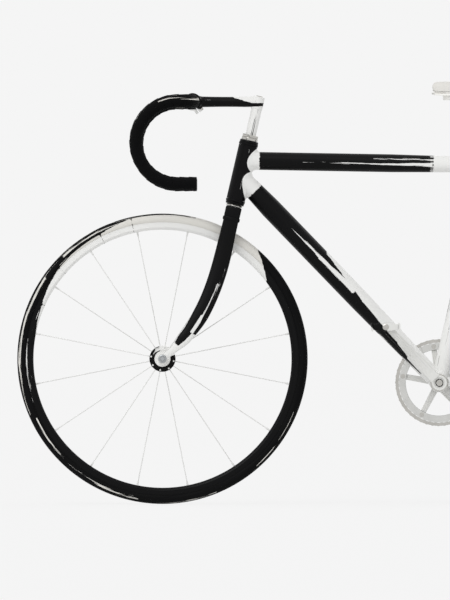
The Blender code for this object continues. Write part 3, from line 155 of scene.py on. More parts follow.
def make_stage():
    """Make the floor, the sky, the lamps and the camera."""
    world = bpy.data.worlds.new("paper_sky")
    bpy.context.scene.world = world
    world.use_nodes = True
    tree = world.node_tree
    tree.nodes.clear()
    light = add(tree, "ShaderNodeBackground", {"Color": linear(SKY_WHITE), "Strength": SKY_LIGHT})
    paper = add(tree, "ShaderNodeBackground", {"Color": linear(PAPER), "Strength": 1.0})
    both = add(tree, "ShaderNodeMixShader", {0: seen_directly(tree), 1: light, 2: paper})
    add(tree, "ShaderNodeOutputWorld", {"Surface": both})

    floor_paint = bpy.data.materials.new("paper_floor")
    floor_paint.use_nodes = True
    tree = floor_paint.node_tree
    tree.nodes.clear()
    lit = add(tree, "ShaderNodeBsdfDiffuse", {"Color": linear(FLOOR_PAPER)})
    paper = add(tree, "ShaderNodeEmission", {"Color": linear(PAPER), "Strength": FLOOR_GLOW})
    share = maths(tree, "MULTIPLY", seen_directly(tree), 1.0 - SHADOW_SHARE)
    both = add(tree, "ShaderNodeMixShader", {0: share, 1: lit, 2: paper})
    add(tree, "ShaderNodeOutputMaterial", {"Surface": both})
    mesh = bpy.data.meshes.new("floor")
    corners = [(-FLOOR_HALF, -FLOOR_HALF, 0), (FLOOR_HALF, -FLOOR_HALF, 0),
               (FLOOR_HALF, FLOOR_HALF, 0), (-FLOOR_HALF, FLOOR_HALF, 0)]
    mesh.from_pydata(corners, [], [(0, 1, 2, 3)])
    mesh.materials.append(floor_paint)
    placed("floor", mesh)

    for number, (strength, spread, way) in enumerate(SUNS):
        lamp = bpy.data.lights.new(f"soft_sun_{number}", "SUN")
        lamp.energy = strength
        lamp.angle = math.radians(spread)
        placed(lamp.name, lamp).rotation_euler = way.to_track_quat("Z", "Y").to_euler()

    lens = bpy.data.cameras.new("side_camera")
    lens.sensor_width = LENS_SENSOR
    lens.lens = LENS_SENSOR * CAMERA_DISTANCE / (FRAME_HEIGHT_PIXELS * MM_PER_PIXEL / 1000)
    lens.clip_end = FLOOR_HALF * 2
    camera = placed("side_camera", lens)
    camera.location = VIEW_CENTRE + ACROSS * CAMERA_DISTANCE
    camera.rotation_euler = ACROSS.to_track_quat("Z", "Y").to_euler()
    bpy.context.scene.camera = camera
    bpy.context.scene.view_settings.view_transform = "Standard"


make_stage()

# Frame
# Nine thin-walled steel tubes, mitred where they meet and fillet-brazed, so that each joint has a smooth
# collar of filed brass under the paint. It is painted by hand: ink-black enamel brushed along each tube
# over a paper-white undercoat, and where the brush ran dry the undercoat shows in long streaks.
HEAD_TUBE_LENGTH = 0.118
HEAD_RADIUS = 0.020
TOP_TUBE_BELOW_HEAD = 0.033
DOWN_TUBE_ABOVE_HEAD_BOTTOM = 0.0485
SEAT_TUBE_STICKS_UP = 0.034
# Share of a tube's length from the head, and its radius there
TOP_TUBE_PROFILE = ((0, 0.01905), (0.6, 0.01905), (1, 0.016))
DOWN_TUBE_PROFILE = ((0, 0.0195), (0.15, 0.02225), (0.6, 0.02225), (1, 0.018))
DOWN_STROKE_HALF = 0.0195
SEAT_TUBE_RADIUS = 0.01745
SHELL_RADIUS = 0.020
HALF_SHELL = 0.034
TUBE_WALL = 0.0013
HEAD_WALL = 0.004
SHELL_WALL = 0.003
TUBE_ROUND = 72
STAY_ROUND = 24
CHAIN_STAY_RADII = (0.0065, 0.009)
# Where the chain stay's taper starts and how long it is, in shares of the stay from its track end
TAPER_START = 0.15
TAPER_SHARE = 0.6
SEAT_STAY_RADIUS = 0.007
DROPOUT_REACH = 0.0403
DROPOUT_MIDDLE = 0.0628
CHAIN_STAY_SPREAD = 0.0245
SEAT_STAY_SPREAD = 0.0215
STAY_STRAIGHT_END = 0.040
CHAIN_STAY_BEND = 0.292
SEAT_STAY_BELOW_TOP_TUBE = 0.004
FILLET_REACH = 0.010
STAY_FILLET_REACH = 0.006
FILLET_SINK = 0.0002
FILLET_STEPS = 6
FILLET_ROUND = 48
INK = "#050506"
UNDERCOAT = "#F1F1EF"
# Brush streaks: how long and how wide they are in millimetres. A real bristle mark is finer, about
# 0.3 mm, and is drawn coarse enough to show in the picture.
STREAK_LENGTH_MM = 95
STREAK_WIDTH_MM = 3.4
BRISTLE_WIDTH_MM = 0.9
# How gradually a dry patch begins, in metres, and how soft its sides are, in half widths of the stroke
PATCH_SOFT_END = 0.004
PATCH_SOFT_SIDE = 0.30
# The grain above which the white shows, where the brush was wet and where it was dry, and how softly
WET_LIMIT = 0.86
DRY_LIMIT = 0.26
BARE_EDGE = 0.025
# How much the long streaks and the single bristles each add to the grain
STREAK_SHARE = 0.68
BRISTLE_SHARE = 0.32
INK_SPECULAR = 0.12
# How deep the brush's marks are, and the finest marks on metal, rubber and lacquer, in metres
BRUSH_RELIEF = 0.0004
FINE_RELIEF = 0.0002

SIDES = (("left", 1), ("right", -1))

joints = {joint["name"]: joint for joint in frame["joints"]}
STEER_UP = Vector(joints["steering"]["axis"])
HEAD_LOW = Vector(joints["steering"]["pos_m"])
HEAD_HIGH = HEAD_LOW + STEER_UP * HEAD_TUBE_LENGTH
STEER_FORWARD = ACROSS.cross(STEER_UP)
SEAT_UP = Vector(joints["seatpost_height"]["axis"])
SEAT_TOP = Vector(joints["seatpost_height"]["pos_m"])
FRONT_AXLE = Vector(joints["front_wheel_spin"]["pos_m"])
REAR_AXLE = Vector(joints["rear_wheel_spin"]["pos_m"])
WHEELS = (("front", FRONT_AXLE), ("rear", REAR_AXLE))
BRACKET = Vector(joints["crank_spin"]["pos_m"])
BAR_CENTRE = Vector(joints["bar_roll"]["pos_m"])
SADDLE_CLAMP = Vector(joints["saddle_tilt"]["pos_m"])
TOP_FRONT = HEAD_HIGH - STEER_UP * TOP_TUBE_BELOW_HEAD
DOWN_FRONT = HEAD_LOW + STEER_UP * DOWN_TUBE_ABOVE_HEAD_BOTTOM
SEAT_CLUSTER = SEAT_TOP - SEAT_UP * SEAT_TUBE_STICKS_UP
STAY_LINE = (BRACKET - REAR_AXLE).normalized()
SEAT_STAY_TOP = SEAT_CLUSTER - SEAT_UP * SEAT_STAY_BELOW_TOP_TUBE
SEAT_STAY_LINE = (SEAT_STAY_TOP - REAR_AXLE).normalized()


def new_material(name):
    """Return a material with its tree and its shader."""
    material = bpy.data.materials.new(name)
    material.use_nodes = True
    tree = material.node_tree
    return material, tree, tree.nodes["Principled BSDF"]


def painted(material):
    """Return the tree and the shader of a material that was made before."""
    return material.node_tree, material.node_tree.nodes["Principled BSDF"]


def along_line(tree, place, start, way):
    """Return a socket with the distance, in metres, from a start along a unit direction."""
    moved = vectors(tree, "SUBTRACT", place, start)
    return vectors(tree, "DOT_PRODUCT", moved, way).outputs["Value"]


def on_tube(start, end):
    """Return how a brush that ran from one end of a tube to the other sees it: along, across and above."""
    way = (end - start).normalized()

    def place_on(tree):
        place = own_place(tree)
        return add(tree, "ShaderNodeCombineXYZ", {
            0: along_line(tree, place, start, way), 1: along_line(tree, place, start, ACROSS),
            2: along_line(tree, place, start, ACROSS.cross(way))}).outputs[0]

    return place_on


def ramp(tree, value, low, high, at_low, at_high):
    """Return a value that runs from one number to another between two places, and stays there beyond."""
    return add(tree, "ShaderNodeMapRange", {
        "Value": value, "From Min": low, "From Max": high, "To Min": at_low, "To Max": at_high}).outputs[0]


def dry_patch(tree, along, above, patch):
    """Return how dry one patch of a stroke is.

    A patch runs between two places along the stroke, and from its lower to its upper edge at each of them.
    """
    (start, end), low_edges, high_edges, strength = patch
    inside = ramp(tree, along, start - PATCH_SOFT_END, start + PATCH_SOFT_END, 0.0, strength)
    leaving = ramp(tree, along, end - PATCH_SOFT_END, end + PATCH_SOFT_END, 1.0, 0.0)
    shares = [leaving]
    for edges, sign in ((low_edges, 1), (high_edges, -1)):
        edge = ramp(tree, along, start, end, *edges)
        beyond = maths(tree, "SUBTRACT", above, edge)
        shares.append(maths(tree, "MULTIPLY_ADD", beyond, sign / PATCH_SOFT_SIDE, 0.5, use_clamp=True))
    for share in shares:
        inside = maths(tree, "MULTIPLY", inside, share).outputs[0]
    return inside


def inked(name, place_on, half_width, base, patches=(), gloss=0.42, wet=INK, dry=UNDERCOAT):
    """Return a white surface brushed over with ink-black, whose white shows in streaks.

    place_on(tree) gives the place along, across and above the brush stroke. base is how dry the brush was,
    from 0, fully covered, to 1, nearly bare, as (from, to, dryness there, dryness here). Each patch adds to
    it, with its edges counted in half widths above the stroke's middle.
    """
    material, tree, shader = new_material(name)
    place = place_on(tree)
    parts = add(tree, "ShaderNodeSeparateXYZ", {0: place})
    along = parts.outputs[0]
    above = maths(tree, "DIVIDE", parts.outputs[2], half_width)
    wide = 1000 / STREAK_WIDTH_MM
    space = vectors(tree, "MULTIPLY", place, (1000 / STREAK_LENGTH_MM, wide, wide))
    streaks = add(tree, "ShaderNodeTexNoise",
                  {"Vector": space, "Scale": 1.0, "Detail": 4.0, "Roughness": 0.62})
    finer = STREAK_WIDTH_MM / BRISTLE_WIDTH_MM
    fine = vectors(tree, "MULTIPLY", space, (2.0, finer, finer))
    bristles = add(tree, "ShaderNodeTexNoise", {"Vector": fine, "Scale": 1.0, "Detail": 2.0})
    dryness = ramp(tree, along, *base)
    for patch in patches:
        dryness = maths(tree, "MAXIMUM", dryness, dry_patch(tree, along, above, patch))
    limit = ramp(tree, dryness, 0.0, 1.0, WET_LIMIT, DRY_LIMIT)
    mixed = maths(tree, "MULTIPLY", streaks, STREAK_SHARE)
    total = maths(tree, "MULTIPLY_ADD", bristles, BRISTLE_SHARE, mixed)
    edge = maths(tree, "ADD", limit, BARE_EDGE)
    bare = add(tree, "ShaderNodeMapRange", {"Value": total, "From Min": limit, "From Max": edge})
    colour = add(tree, "ShaderNodeMix", {0: bare, 6: linear(wet), 7: linear(dry)}, data_type="RGBA")
    wire(tree, shader, {
        "Base Color": colour.outputs[2], "Specular IOR Level": INK_SPECULAR,
        "Roughness": ramp(tree, total, 0.3, 0.7, gloss - 0.08, gloss + 0.12),
        "Normal": relief(tree, total, 0.10, BRUSH_RELIEF)})
    return material


def skin(rings, loop=False):
    """Return a mesh stretched over rings of points, capped unless the rings close on themselves."""
    bm = bmesh.new()
    rows = [[bm.verts.new(point) for point in ring] for ring in rings]
    pairs = list(zip(rows, rows[1:])) + ([(rows[-1], rows[0])] if loop else [])
    for first, second in pairs:
        for here in range(len(first)):
            after = (here + 1) % len(first)
            bm.faces.new((first[here], first[after], second[after], second[here]))
    if not loop:
        bm.faces.new(rows[0])
        bm.faces.new(rows[-1])
    bmesh.ops.recalc_face_normals(bm, faces=bm.faces)
    return bm


def slab(centre, first, second, outline, levels, way=ACROSS):
    """Return a flat plate: an outline drawn along two directions, between two levels along a third."""
    return skin([[centre + first * a + second * b + way * level for a, b in outline] for level in levels])


def mirrored(section):
    """Return the other half of a section or of a row of stations, from its end to its middle."""
    return [(-along, radius) for along, radius in reversed(section)]


def as_mesh(bm, name="part"):
    """Return a bmesh as a mesh, using it up. A mesh comes back as it is."""
    if not isinstance(bm, bmesh.types.BMesh):
        return bm
    mesh = bpy.data.meshes.new(name)
    bm.to_mesh(mesh)
    bm.free()
    return mesh


def settled(holder):
    """Return the plain mesh that an object's modifiers make."""
    bpy.context.view_layer.update()
    return bpy.data.meshes.new_from_object(holder.evaluated_get(bpy.context.evaluated_depsgraph_get()))


def set_piece(name, bm, material, body, stands_for=(), crisp=35):
    """Make a mesh into a piece of the bicycle: its finish, the body it rides on and what it stands for."""
    mesh = as_mesh(bm, name)
    mesh.materials.clear()
    mesh.materials.append(material)
    mesh.shade_smooth()
    mesh.set_sharp_from_angle(angle=math.radians(crisp))
    piece = placed(name, mesh)
    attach(piece, body)
    if stands_for:
        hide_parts(*stands_for)
    return piece


def repaint(node, material):
    """Give a carried-over solid its material."""
    mesh = frame["nodes"][node].data
    mesh.materials.clear()
    mesh.materials.append(material)


def crosswise(axis):
    """Return two unit vectors square to an axis and to each other."""
    side = ACROSS if abs(axis.dot(ACROSS)) < 0.9 else AHEAD
    first = (side - axis * side.dot(axis)).normalized()
    return first, axis.cross(first)


def spokes_round(first, second, count):
    """Return unit vectors evenly round an axis, from two that are square to it and to each other."""
    turns = (2 * math.pi * step / count for step in range(count))
    return [first * math.cos(turn) + second * math.sin(turn) for turn in turns]


def tangents(points):
    """Return a path's direction and one sideways direction at each point, turned as little as needed."""
    last = (points[1] - points[0]).normalized()
    side = crosswise(last)[0]
    frames = []
    for index in range(len(points)):
        along = (points[min(index + 1, len(points) - 1)] - points[max(index - 1, 0)]).normalized()
        side = last.rotation_difference(along) @ side
        last = along
        frames.append((along, side))
    return frames


def swept(points, radii, sides):
    """Return a round bar along a path."""
    rings = []
    for point, radius, (along, side) in zip(points, radii, tangents(points)):
        rings.append([point + out * radius for out in spokes_round(side, along.cross(side), sides)])
    return skin(rings)


def curved(start, corner, end, t):
    """Return the point a share t along the curve from start to end that bends towards a corner."""
    return start * (1 - t) ** 2 + corner * 2 * t * (1 - t) + end * t ** 2


def eased(points, steps, cut_share=0.32):
    """Return a path with its corners rounded, each by a curve between points on both sides of it."""
    path = [points[0]]
    for before, corner, after in zip(points, points[1:], points[2:]):
        start = corner.lerp(before, cut_share)
        end = corner.lerp(after, cut_share)
        path += [curved(start, corner, end, step / steps) for step in range(steps + 1)]
    path.append(points[-1])
    return path


def meeting(start, way, out, radius, carrier):
    """Return where a line along a tube's skin comes out of the round tube that carries it."""
    base, line, thick = carrier
    origin = start + out * radius - base
    origin -= line * origin.dot(line)
    gain = way - line * way.dot(line)
    middle = -origin.dot(gain) / gain.length_squared
    spare = middle ** 2 - (origin.length_squared - thick ** 2) / gain.length_squared
    return start + out * radius + way * (middle + math.sqrt(max(spare, 0)))


def tube(node, start, end, profile, carriers, wall, material):
    """Make a drawn tube in place of a faceted one.

    profile gives (share of the length, radius). carriers are the tubes that its two ends are mitred to, each
    as (point on its centre line, direction, radius), or None where the end is cut square.
    """
    way = (end - start).normalized()
    spokes = spokes_round(*crosswise(way), TUBE_ROUND)
    skins = []
    for inset in (0, wall):
        rings = []
        for share, radius in profile:
            place = start.lerp(end, share)
            carrier, lead = {0: (carriers[0], way), 1: (carriers[1], -way)}.get(share, (None, way))
            around = radius - inset
            rings.append([meeting(place, lead, out, around, carrier) if carrier else place + out * around
                          for out in spokes])
        skins.append(rings)
    outer, inner = skins
    drawn = skin(outer + inner[::-1], loop=True)
    set_piece(f"{node}_drawn", drawn, material, "frame_body", [node])


def fillet(name, start, way, radius, carrier, reach, material, body="frame_body"):
    """Make the filed braze collar where a tube runs into the tube that carries it."""
    base, line, thick = carrier
    way = way.normalized()
    sections = []
    for out in spokes_round(*crosswise(way), FILLET_ROUND):
        meet = meeting(start, way, out, radius, carrier)
        foot = base + line * (meet - base).dot(line)
        face = (meet - foot).normalized()
        slide = (out - face * out.dot(face)).normalized()
        on_tube_skin = meet + way * reach - out * FILLET_SINK
        on_carrier = meet + slide * reach
        foot = base + line * (on_carrier - base).dot(line)
        on_carrier = foot + (on_carrier - foot).normalized() * (thick - FILLET_SINK)
        section = [curved(on_tube_skin, meet, on_carrier, part / FILLET_STEPS)
                   for part in range(FILLET_STEPS + 1)]
        section.append(meet - out * FILLET_SINK * 8 - face * FILLET_SINK * 8)
        sections.append(section)
    set_piece(name, skin(sections, loop=True), material, body, crisp=60)


# The down tube's stroke, which frays into a point: its dryness along the tube and its dry patches
DOWN_STROKE = ((0.10, 0.40, 0.12, 0.36), (
    ((-0.05, 0.0430), (-2, -2), (2, 2), 1.1),
    ((0.110, 0.240), (0.10, -0.06), (0.20, 0.40), 0.72),
    ((0.235, 0.345), (-0.06, -0.10), (0.40, 0.62), 0.97),
    ((0.240, 0.370), (0.95, 0.10), (3, 3), 0.97),
    ((0.365, 0.484), (0.10, -0.30), (3, 3), 1.05),
    ((0.120, 0.500), (-0.86, -0.84), (-0.74, -0.66), 0.66),
    ((0.440, 0.570), (-3, -3), (-1.0, -0.80), 1.05),
    ((0.480, 0.524), (-0.29, -0.52), (3, 3), 1.05),
    ((0.520, 0.575), (-0.68, -0.76), (3, 3), 1.05),
    ((0.566, 0.700), (-3, -3), (3, 3), 1.05)))


def make_frame():
    """Paint the frame's tubes and make the stays and the fillets."""
    back = (SEAT_CLUSTER - TOP_FRONT).normalized()
    down = (BRACKET - DOWN_FRONT).normalized()
    plain = inked(
        "brushed_enamel_head", on_tube(HEAD_LOW, HEAD_HIGH), HEAD_RADIUS, (0, 0.118, 0.30, 0.30), (
            ((0.020, 0.115), (-0.32, -0.30), (-0.02, -0.10), 0.62),
            ((0.030, 0.090), (0.25, 0.30), (0.50, 0.55), 0.50)))
    top_coat = inked(
        "brushed_enamel_top_tube", on_tube(TOP_FRONT, SEAT_CLUSTER), TOP_TUBE_PROFILE[0][1],
        (0.10, 0.30, 0.10, 0.34), (
            ((-0.10, 0.0320), (-2, -2), (2, 2), 1.1),
            ((0.070, 0.200), (-0.12, -0.10), (0.02, 0.12), 0.62),
            ((0.120, 0.402), (-0.12, -0.36), (0.00, 0.10), 0.86),
            ((0.270, 0.402), (0.36, 0.30), (0.66, 0.56), 0.70),
            ((0.392, 0.412), (-2, -2), (2, 2), 0.58),
            ((0.400, 0.600), (-2, -2), (2, 2), 0.93)))
    down_coat = inked(
        "brushed_enamel_down_tube", on_tube(DOWN_FRONT, BRACKET), DOWN_STROKE_HALF, *DOWN_STROKE)
    bare = inked(
        "white_undercoat_at_joints", on_tube(HEAD_LOW, HEAD_HIGH), HEAD_RADIUS, (0, 1, 0.97, 0.97))
    rear_coat = inked(
        "brushed_enamel_seat_tube", on_tube(BRACKET, SEAT_TOP), SEAT_TUBE_RADIUS, (0.12, 0.30, 0.76, 0.20), (
            ((-0.050, 0.118), (-3, -3), (3, 3), 0.86),
            ((0.105, 0.190), (-3, -3), (-0.20, -0.70), 1.0),
            ((0.110, 0.260), (0.30, 0.20), (0.70, 0.50), 0.84),
            ((0.300, 0.440), (-0.34, -0.30), (-0.12, -0.16), 0.70),
            ((0.474, 0.490), (-3, -3), (3, 3), 0.94)))
    head = (HEAD_LOW, STEER_UP, HEAD_RADIUS)
    seat = (BRACKET, SEAT_UP, SEAT_TUBE_RADIUS)
    shell = (BRACKET, ACROSS, SHELL_RADIUS)
    half_shell = ACROSS * HALF_SHELL
    head_profile = ((0, HEAD_RADIUS), (1, HEAD_RADIUS))
    seat_profile = ((0, SEAT_TUBE_RADIUS), (1, SEAT_TUBE_RADIUS))
    shell_profile = ((0, SHELL_RADIUS), (1, SHELL_RADIUS))
    tube("head_tube", HEAD_LOW, HEAD_HIGH, head_profile, (None, None), HEAD_WALL, plain)
    tube("top_tube", TOP_FRONT, SEAT_CLUSTER, TOP_TUBE_PROFILE, (head, seat), TUBE_WALL, top_coat)
    tube("down_tube", DOWN_FRONT, BRACKET, DOWN_TUBE_PROFILE, (head, shell), TUBE_WALL, down_coat)
    tube("seat_tube", BRACKET, SEAT_TOP, seat_profile, (shell, None), TUBE_WALL, rear_coat)
    tube("bottom_bracket_shell", BRACKET - half_shell, BRACKET + half_shell, shell_profile, (None, None),
         SHELL_WALL, rear_coat)
    for name, start, way, radius, carrier, material in (
            ("top_tube_head", TOP_FRONT, back, TOP_TUBE_PROFILE[0][1], head, bare),
            ("down_tube_head", DOWN_FRONT, down, DOWN_TUBE_PROFILE[0][1], head, bare),
            ("top_tube_seat", SEAT_CLUSTER, -back, TOP_TUBE_PROFILE[-1][1], seat, rear_coat),
            ("down_tube_shell", BRACKET, -down, DOWN_TUBE_PROFILE[-1][1], shell, rear_coat),
            ("seat_tube_shell", BRACKET, SEAT_UP, SEAT_TUBE_RADIUS, shell, rear_coat)):
        fillet(f"fillet_{name}", start, way, radius, carrier, FILLET_REACH, material)

    chain_stay_coat = inked(
        "brushed_enamel_chain_stays", on_tube(BRACKET, REAR_AXLE), CHAIN_STAY_RADII[1],
        (0.06, 0.16, 0.74, 0.22), (
            ((-0.050, 0.062), (-3, -3), (3, 3), 0.92),
            ((0.055, 0.120), (-3, -3), (-0.10, -0.60), 1.0),
            ((0.110, 0.230), (0.20, 0.14), (0.52, 0.40), 0.76),
            ((0.318, 0.420), (-3, -3), (3, 3), 0.92)))
    seat_stay_coat = inked(
        "brushed_enamel_seat_stays", on_tube(SEAT_STAY_TOP, REAR_AXLE), SEAT_STAY_RADIUS,
        (0.05, 0.38, 0.18, 0.46), (
            ((-0.100, 0.030), (-3, -3), (3, 3), 0.94),
            ((0.140, 0.330), (0.20, -0.10), (0.56, 0.30), 0.80),
            ((0.350, 0.420), (-3, -3), (0.90, 0.10), 1.0),
            ((0.395, 0.600), (-3, -3), (3, 3), 0.95)))
    for name, side in SIDES:
        out = ACROSS * side * DROPOUT_MIDDLE
        end = REAR_AXLE + STAY_LINE * DROPOUT_REACH + out
        high = BRACKET + ACROSS * side * CHAIN_STAY_SPREAD
        path = eased([
            end, end + STAY_LINE * STAY_STRAIGHT_END,
            REAR_AXLE + STAY_LINE * CHAIN_STAY_BEND + ACROSS * side * CHAIN_STAY_SPREAD, high], 8)
        reached = [(point - end).dot(STAY_LINE) / (high - end).dot(STAY_LINE) for point in path]
        thin, thick = CHAIN_STAY_RADII
        radii = [thin + (thick - thin) * min(max((share - TAPER_START) / TAPER_SHARE, 0), 1)
                 for share in reached]
        path[-1] = path[-1] - STAY_LINE * SHELL_RADIUS * 0.8
        set_piece(f"chain_stay_tube_{name}", swept(path, radii, STAY_ROUND), chain_stay_coat, "frame_body",
                  [f"chain_stay_{name}"])
        fillet(f"fillet_chain_stay_{name}", high, -STAY_LINE, thick, shell, STAY_FILLET_REACH, rear_coat)

        low = REAR_AXLE + SEAT_STAY_LINE * DROPOUT_REACH + out
        knee = low + SEAT_STAY_LINE * STAY_STRAIGHT_END
        top = SEAT_STAY_TOP + ACROSS * side * SEAT_STAY_SPREAD
        path = eased([low, knee, top], 8)
        bent = swept(path, [SEAT_STAY_RADIUS] * len(path), STAY_ROUND)
        set_piece(f"seat_stay_tube_{name}", bent, seat_stay_coat, "frame_body",
                  [f"seat_stay_{name}"])
        fillet(f"fillet_seat_stay_{name}", top, knee - top, SEAT_STAY_RADIUS, seat, STAY_FILLET_REACH,
               rear_coat)
    return plain


HEAD_COAT = make_frame()

# Headset
# Pressed cups, a crown race and a threaded top race with its locknut: turned steel, ground and nickel
# plated. The cups are enamelled with the head tube; the races stay bright and part it from the fork.
TURNED_SIDES = 64
CUP_HEIGHT = 0.0105
CUP_RADIUS = 0.0205
CUP_TIP_RADIUS = 0.0193
CUP_BORE = 0.0140
CUP_SEAT = 0.0003
CUP_GROOVE = 0.0012
RACE_RADIUS = 0.0175
RACE_HEIGHT = 0.004
RACE_BEVEL = 0.0015
TOP_RACE_HEIGHT = 0.012
TOP_RACE_SHOULDER = 0.0006
TOP_RACE_GAP = 0.0002
TOP_RACE_BEVEL = 0.0008
LOCKNUT_ACROSS = 0.0330
LOCKNUT_EDGE = 0.0009
CUP_SHANK_DEPTH = 0.009
CUP_SHANK_RADIUS = 0.0155
STEERER_RADIUS = 0.0127
EDGE = 0.0005
NICKEL = "#C9C7C2"
# Grinding marks in millimetres, some ten times coarser than real ones so that they show, and the wider
# blotches of a plating or a polish
GRIND_MM = 0.6
METAL_CLOUD_MM = 50 / 3
# What share of its colour a metal keeps in its darker blotches, and of its roughness where its polish is
# best and worst
METAL_DARKER = 0.82
METAL_POLISH = (0.75, 1.35)


def bare_metal(name, colour, roughness, grain_mm, streak=1.0, bump=0.06):
    """Return bare or plated metal whose polish varies with a grain of the given size.

    streak stretches the grain across the bicycle, as turning or brushing leaves it.
    """
    material, tree, shader = new_material(name)
    place = own_place(tree)
    scale = 1000 / grain_mm
    sized = add(tree, "ShaderNodeMapping", {"Vector": place, "Scale": (scale, scale * streak, scale)})
    grain = add(tree, "ShaderNodeTexNoise", {"Vector": sized, "Scale": 1.0, "Detail": 3.0})
    cloud = noise(tree, place, METAL_CLOUD_MM, 2.0)
    total = maths(tree, "MULTIPLY_ADD", grain, 0.5, cloud)
    smoothest, roughest = METAL_POLISH
    wire(tree, shader, {
        "Base Color": clouded(tree, cloud, colour, METAL_DARKER), "Metallic": 1.0,
        "Roughness": ramp(tree, total, 0.5, 1.0, roughness * smoothest, roughness * roughest),
        "Normal": relief(tree, grain, bump, FINE_RELIEF)})
    return material


def turned(centre, axis, section, sides=TURNED_SIDES):
    """Return a turned ring from a closed section of (distance along the axis, radius) points."""
    way = axis.normalized()
    return skin([[centre + way * along + out * radius for along, radius in section]
                 for out in spokes_round(*crosswise(way), sides)], loop=True)


def rod(start, axis, stations, sides=TURNED_SIDES):
    """Return a turned bar with flat ends from (distance, radius) stations along an axis."""
    way = axis.normalized()
    spokes = spokes_round(*crosswise(way), sides)
    return skin([[start + way * along + out * radius for out in spokes] for along, radius in stations])


def softened(bm, width=EDGE, segments=2, limit=28):
    """Return the mesh with its sharp edges rounded off, as a plain mesh."""
    bmesh.ops.remove_doubles(bm, verts=bm.verts, dist=1e-6)
    mesh = as_mesh(bm, "soft_edges")
    holder = placed("soft_edges", mesh)
    bevel = holder.modifiers.new("rounding", "BEVEL")
    bevel.width = width
    bevel.segments = segments
    bevel.limit_method = "ANGLE"
    bevel.angle_limit = math.radians(limit)
    result = settled(holder)
    bpy.data.objects.remove(holder)
    bpy.data.meshes.remove(mesh)
    return result


def merged(*meshes):
    """Return one bmesh holding several bmeshes or meshes, which are used up."""
    whole = bmesh.new()
    for mesh in meshes:
        mesh = as_mesh(mesh)
        whole.from_mesh(mesh)
        bpy.data.meshes.remove(mesh)
    return whole


# Warm and bright, with the fine rings that grinding leaves
NICKEL_PLATE = bare_metal("nickel_plated_steel", NICKEL, 0.20, GRIND_MM, 0.15)


def make_headset():
    """Make the cups on the head tube and the races on the fork."""
    for name, face, way, node in (("lower", HEAD_LOW, -STEER_UP, "headset_lower_cup"),
                                  ("upper", HEAD_HIGH, STEER_UP, "headset_upper_cup")):
        top = CUP_SEAT + CUP_HEIGHT
        waist = CUP_SEAT + CUP_HEIGHT * 0.55
        section = [
            (-CUP_SHANK_DEPTH, CUP_SHANK_RADIUS), (CUP_SEAT, CUP_SHANK_RADIUS), (CUP_SEAT, CUP_RADIUS),
            (waist - CUP_GROOVE, CUP_RADIUS),
            (waist - CUP_GROOVE / 2, CUP_RADIUS - CUP_GROOVE), (waist, CUP_RADIUS - CUP_GROOVE / 3),
            (top, CUP_TIP_RADIUS), (top, CUP_BORE), (-CUP_SHANK_DEPTH, CUP_BORE)]
        set_piece(f"headset_cup_{name}", softened(turned(face, way, section)), HEAD_COAT, "frame_body",
                  [node])
    race_low = HEAD_LOW - STEER_UP * (CUP_HEIGHT + CUP_SEAT * 2 + RACE_HEIGHT)
    section = [(0, STEERER_RADIUS + CUP_SEAT), (0, RACE_RADIUS), (RACE_HEIGHT * 0.5, RACE_RADIUS),
               (RACE_HEIGHT, RACE_RADIUS - RACE_BEVEL), (RACE_HEIGHT, STEERER_RADIUS + CUP_SEAT)]
    set_piece("crown_race_ring", softened(turned(race_low, STEER_UP, section)), NICKEL_PLATE, "fork_body",
              ["crown_race"])

    seat = HEAD_HIGH + STEER_UP * (CUP_HEIGHT + CUP_SEAT * 2)
    half = TOP_RACE_HEIGHT / 2
    bore = STEERER_RADIUS + CUP_SEAT
    race = softened(turned(seat, STEER_UP, [
        (0, bore), (0, RACE_RADIUS), (half - TOP_RACE_SHOULDER, RACE_RADIUS),
        (half - TOP_RACE_GAP, RACE_RADIUS - TOP_RACE_BEVEL), (half - TOP_RACE_GAP, bore)]))
    nut_start = seat + STEER_UP * half
    corner = LOCKNUT_ACROSS / 2 / math.cos(math.pi / 6)
    nut = softened(turned(nut_start, STEER_UP, [(0, bore), (0, corner), (half, corner), (half, bore)], 6),
                   LOCKNUT_EDGE, 3)
    set_piece("headset_top_race_and_locknut", merged(race, nut), NICKEL_PLATE, "fork_body",
              ["headset_top_race"])
    repaint("fork_steerer", NICKEL_PLATE)


make_headset()

# Fork
# Two oval steel blades, raked forward in one long curve and drawn thin towards flat forged ends, brazed
# into a flat-topped crown. Enamelled as the frame is; towards the wheel's axle the brush ran dry.
BLADE_TOP = 0.3078
BLADE_BEND_START = 0.234
BLADE_HANDLES = ((0.085, 0.0), (0.018, 0.045))
BLADE_STEPS = 64
BLADE_SIDES = 32
BLADE_CHORD = 0.036
BLADE_TIP_CHORD = 0.013
BLADE_THICKNESS = 0.017
BLADE_TIP_THICKNESS = 0.0055
BLADE_SPREAD_TOP = 0.033
BLADE_TIP_MIDDLE = 0.05305
# Share of the blade's length, share of the change from full chord to tip chord
BLADE_FADE = ((0.0, 0.15), (0.3, 0.0), (0.62, 0.05), (0.8, 0.35), (0.93, 0.95), (1.0, 1.0))
BLADE_SPREAD = ((0.0, BLADE_SPREAD_TOP), (0.93, BLADE_TIP_MIDDLE), (1.0, BLADE_TIP_MIDDLE))
CROWN_HEIGHT = 0.024
CROWN_CHORD = 0.034
CROWN_GAP = 0.0003
SOCKET_DEPTH = 0.007
SOCKET_PROUD = 0.0011
FORK_END_RADIUS = 0.0105
AXLE_SLOT = 0.0053
FORK_END_SIDES = 28

STEER_FOOT = HEAD_LOW + STEER_UP * ((FRONT_AXLE.z - HEAD_LOW.z) / STEER_UP.z)


def on_steering_axis(distance, forward=0.0):
    """Return a point in the centre plane by its place along the steering axis and ahead of it."""
    return STEER_FOOT + STEER_UP * distance + STEER_FORWARD * forward


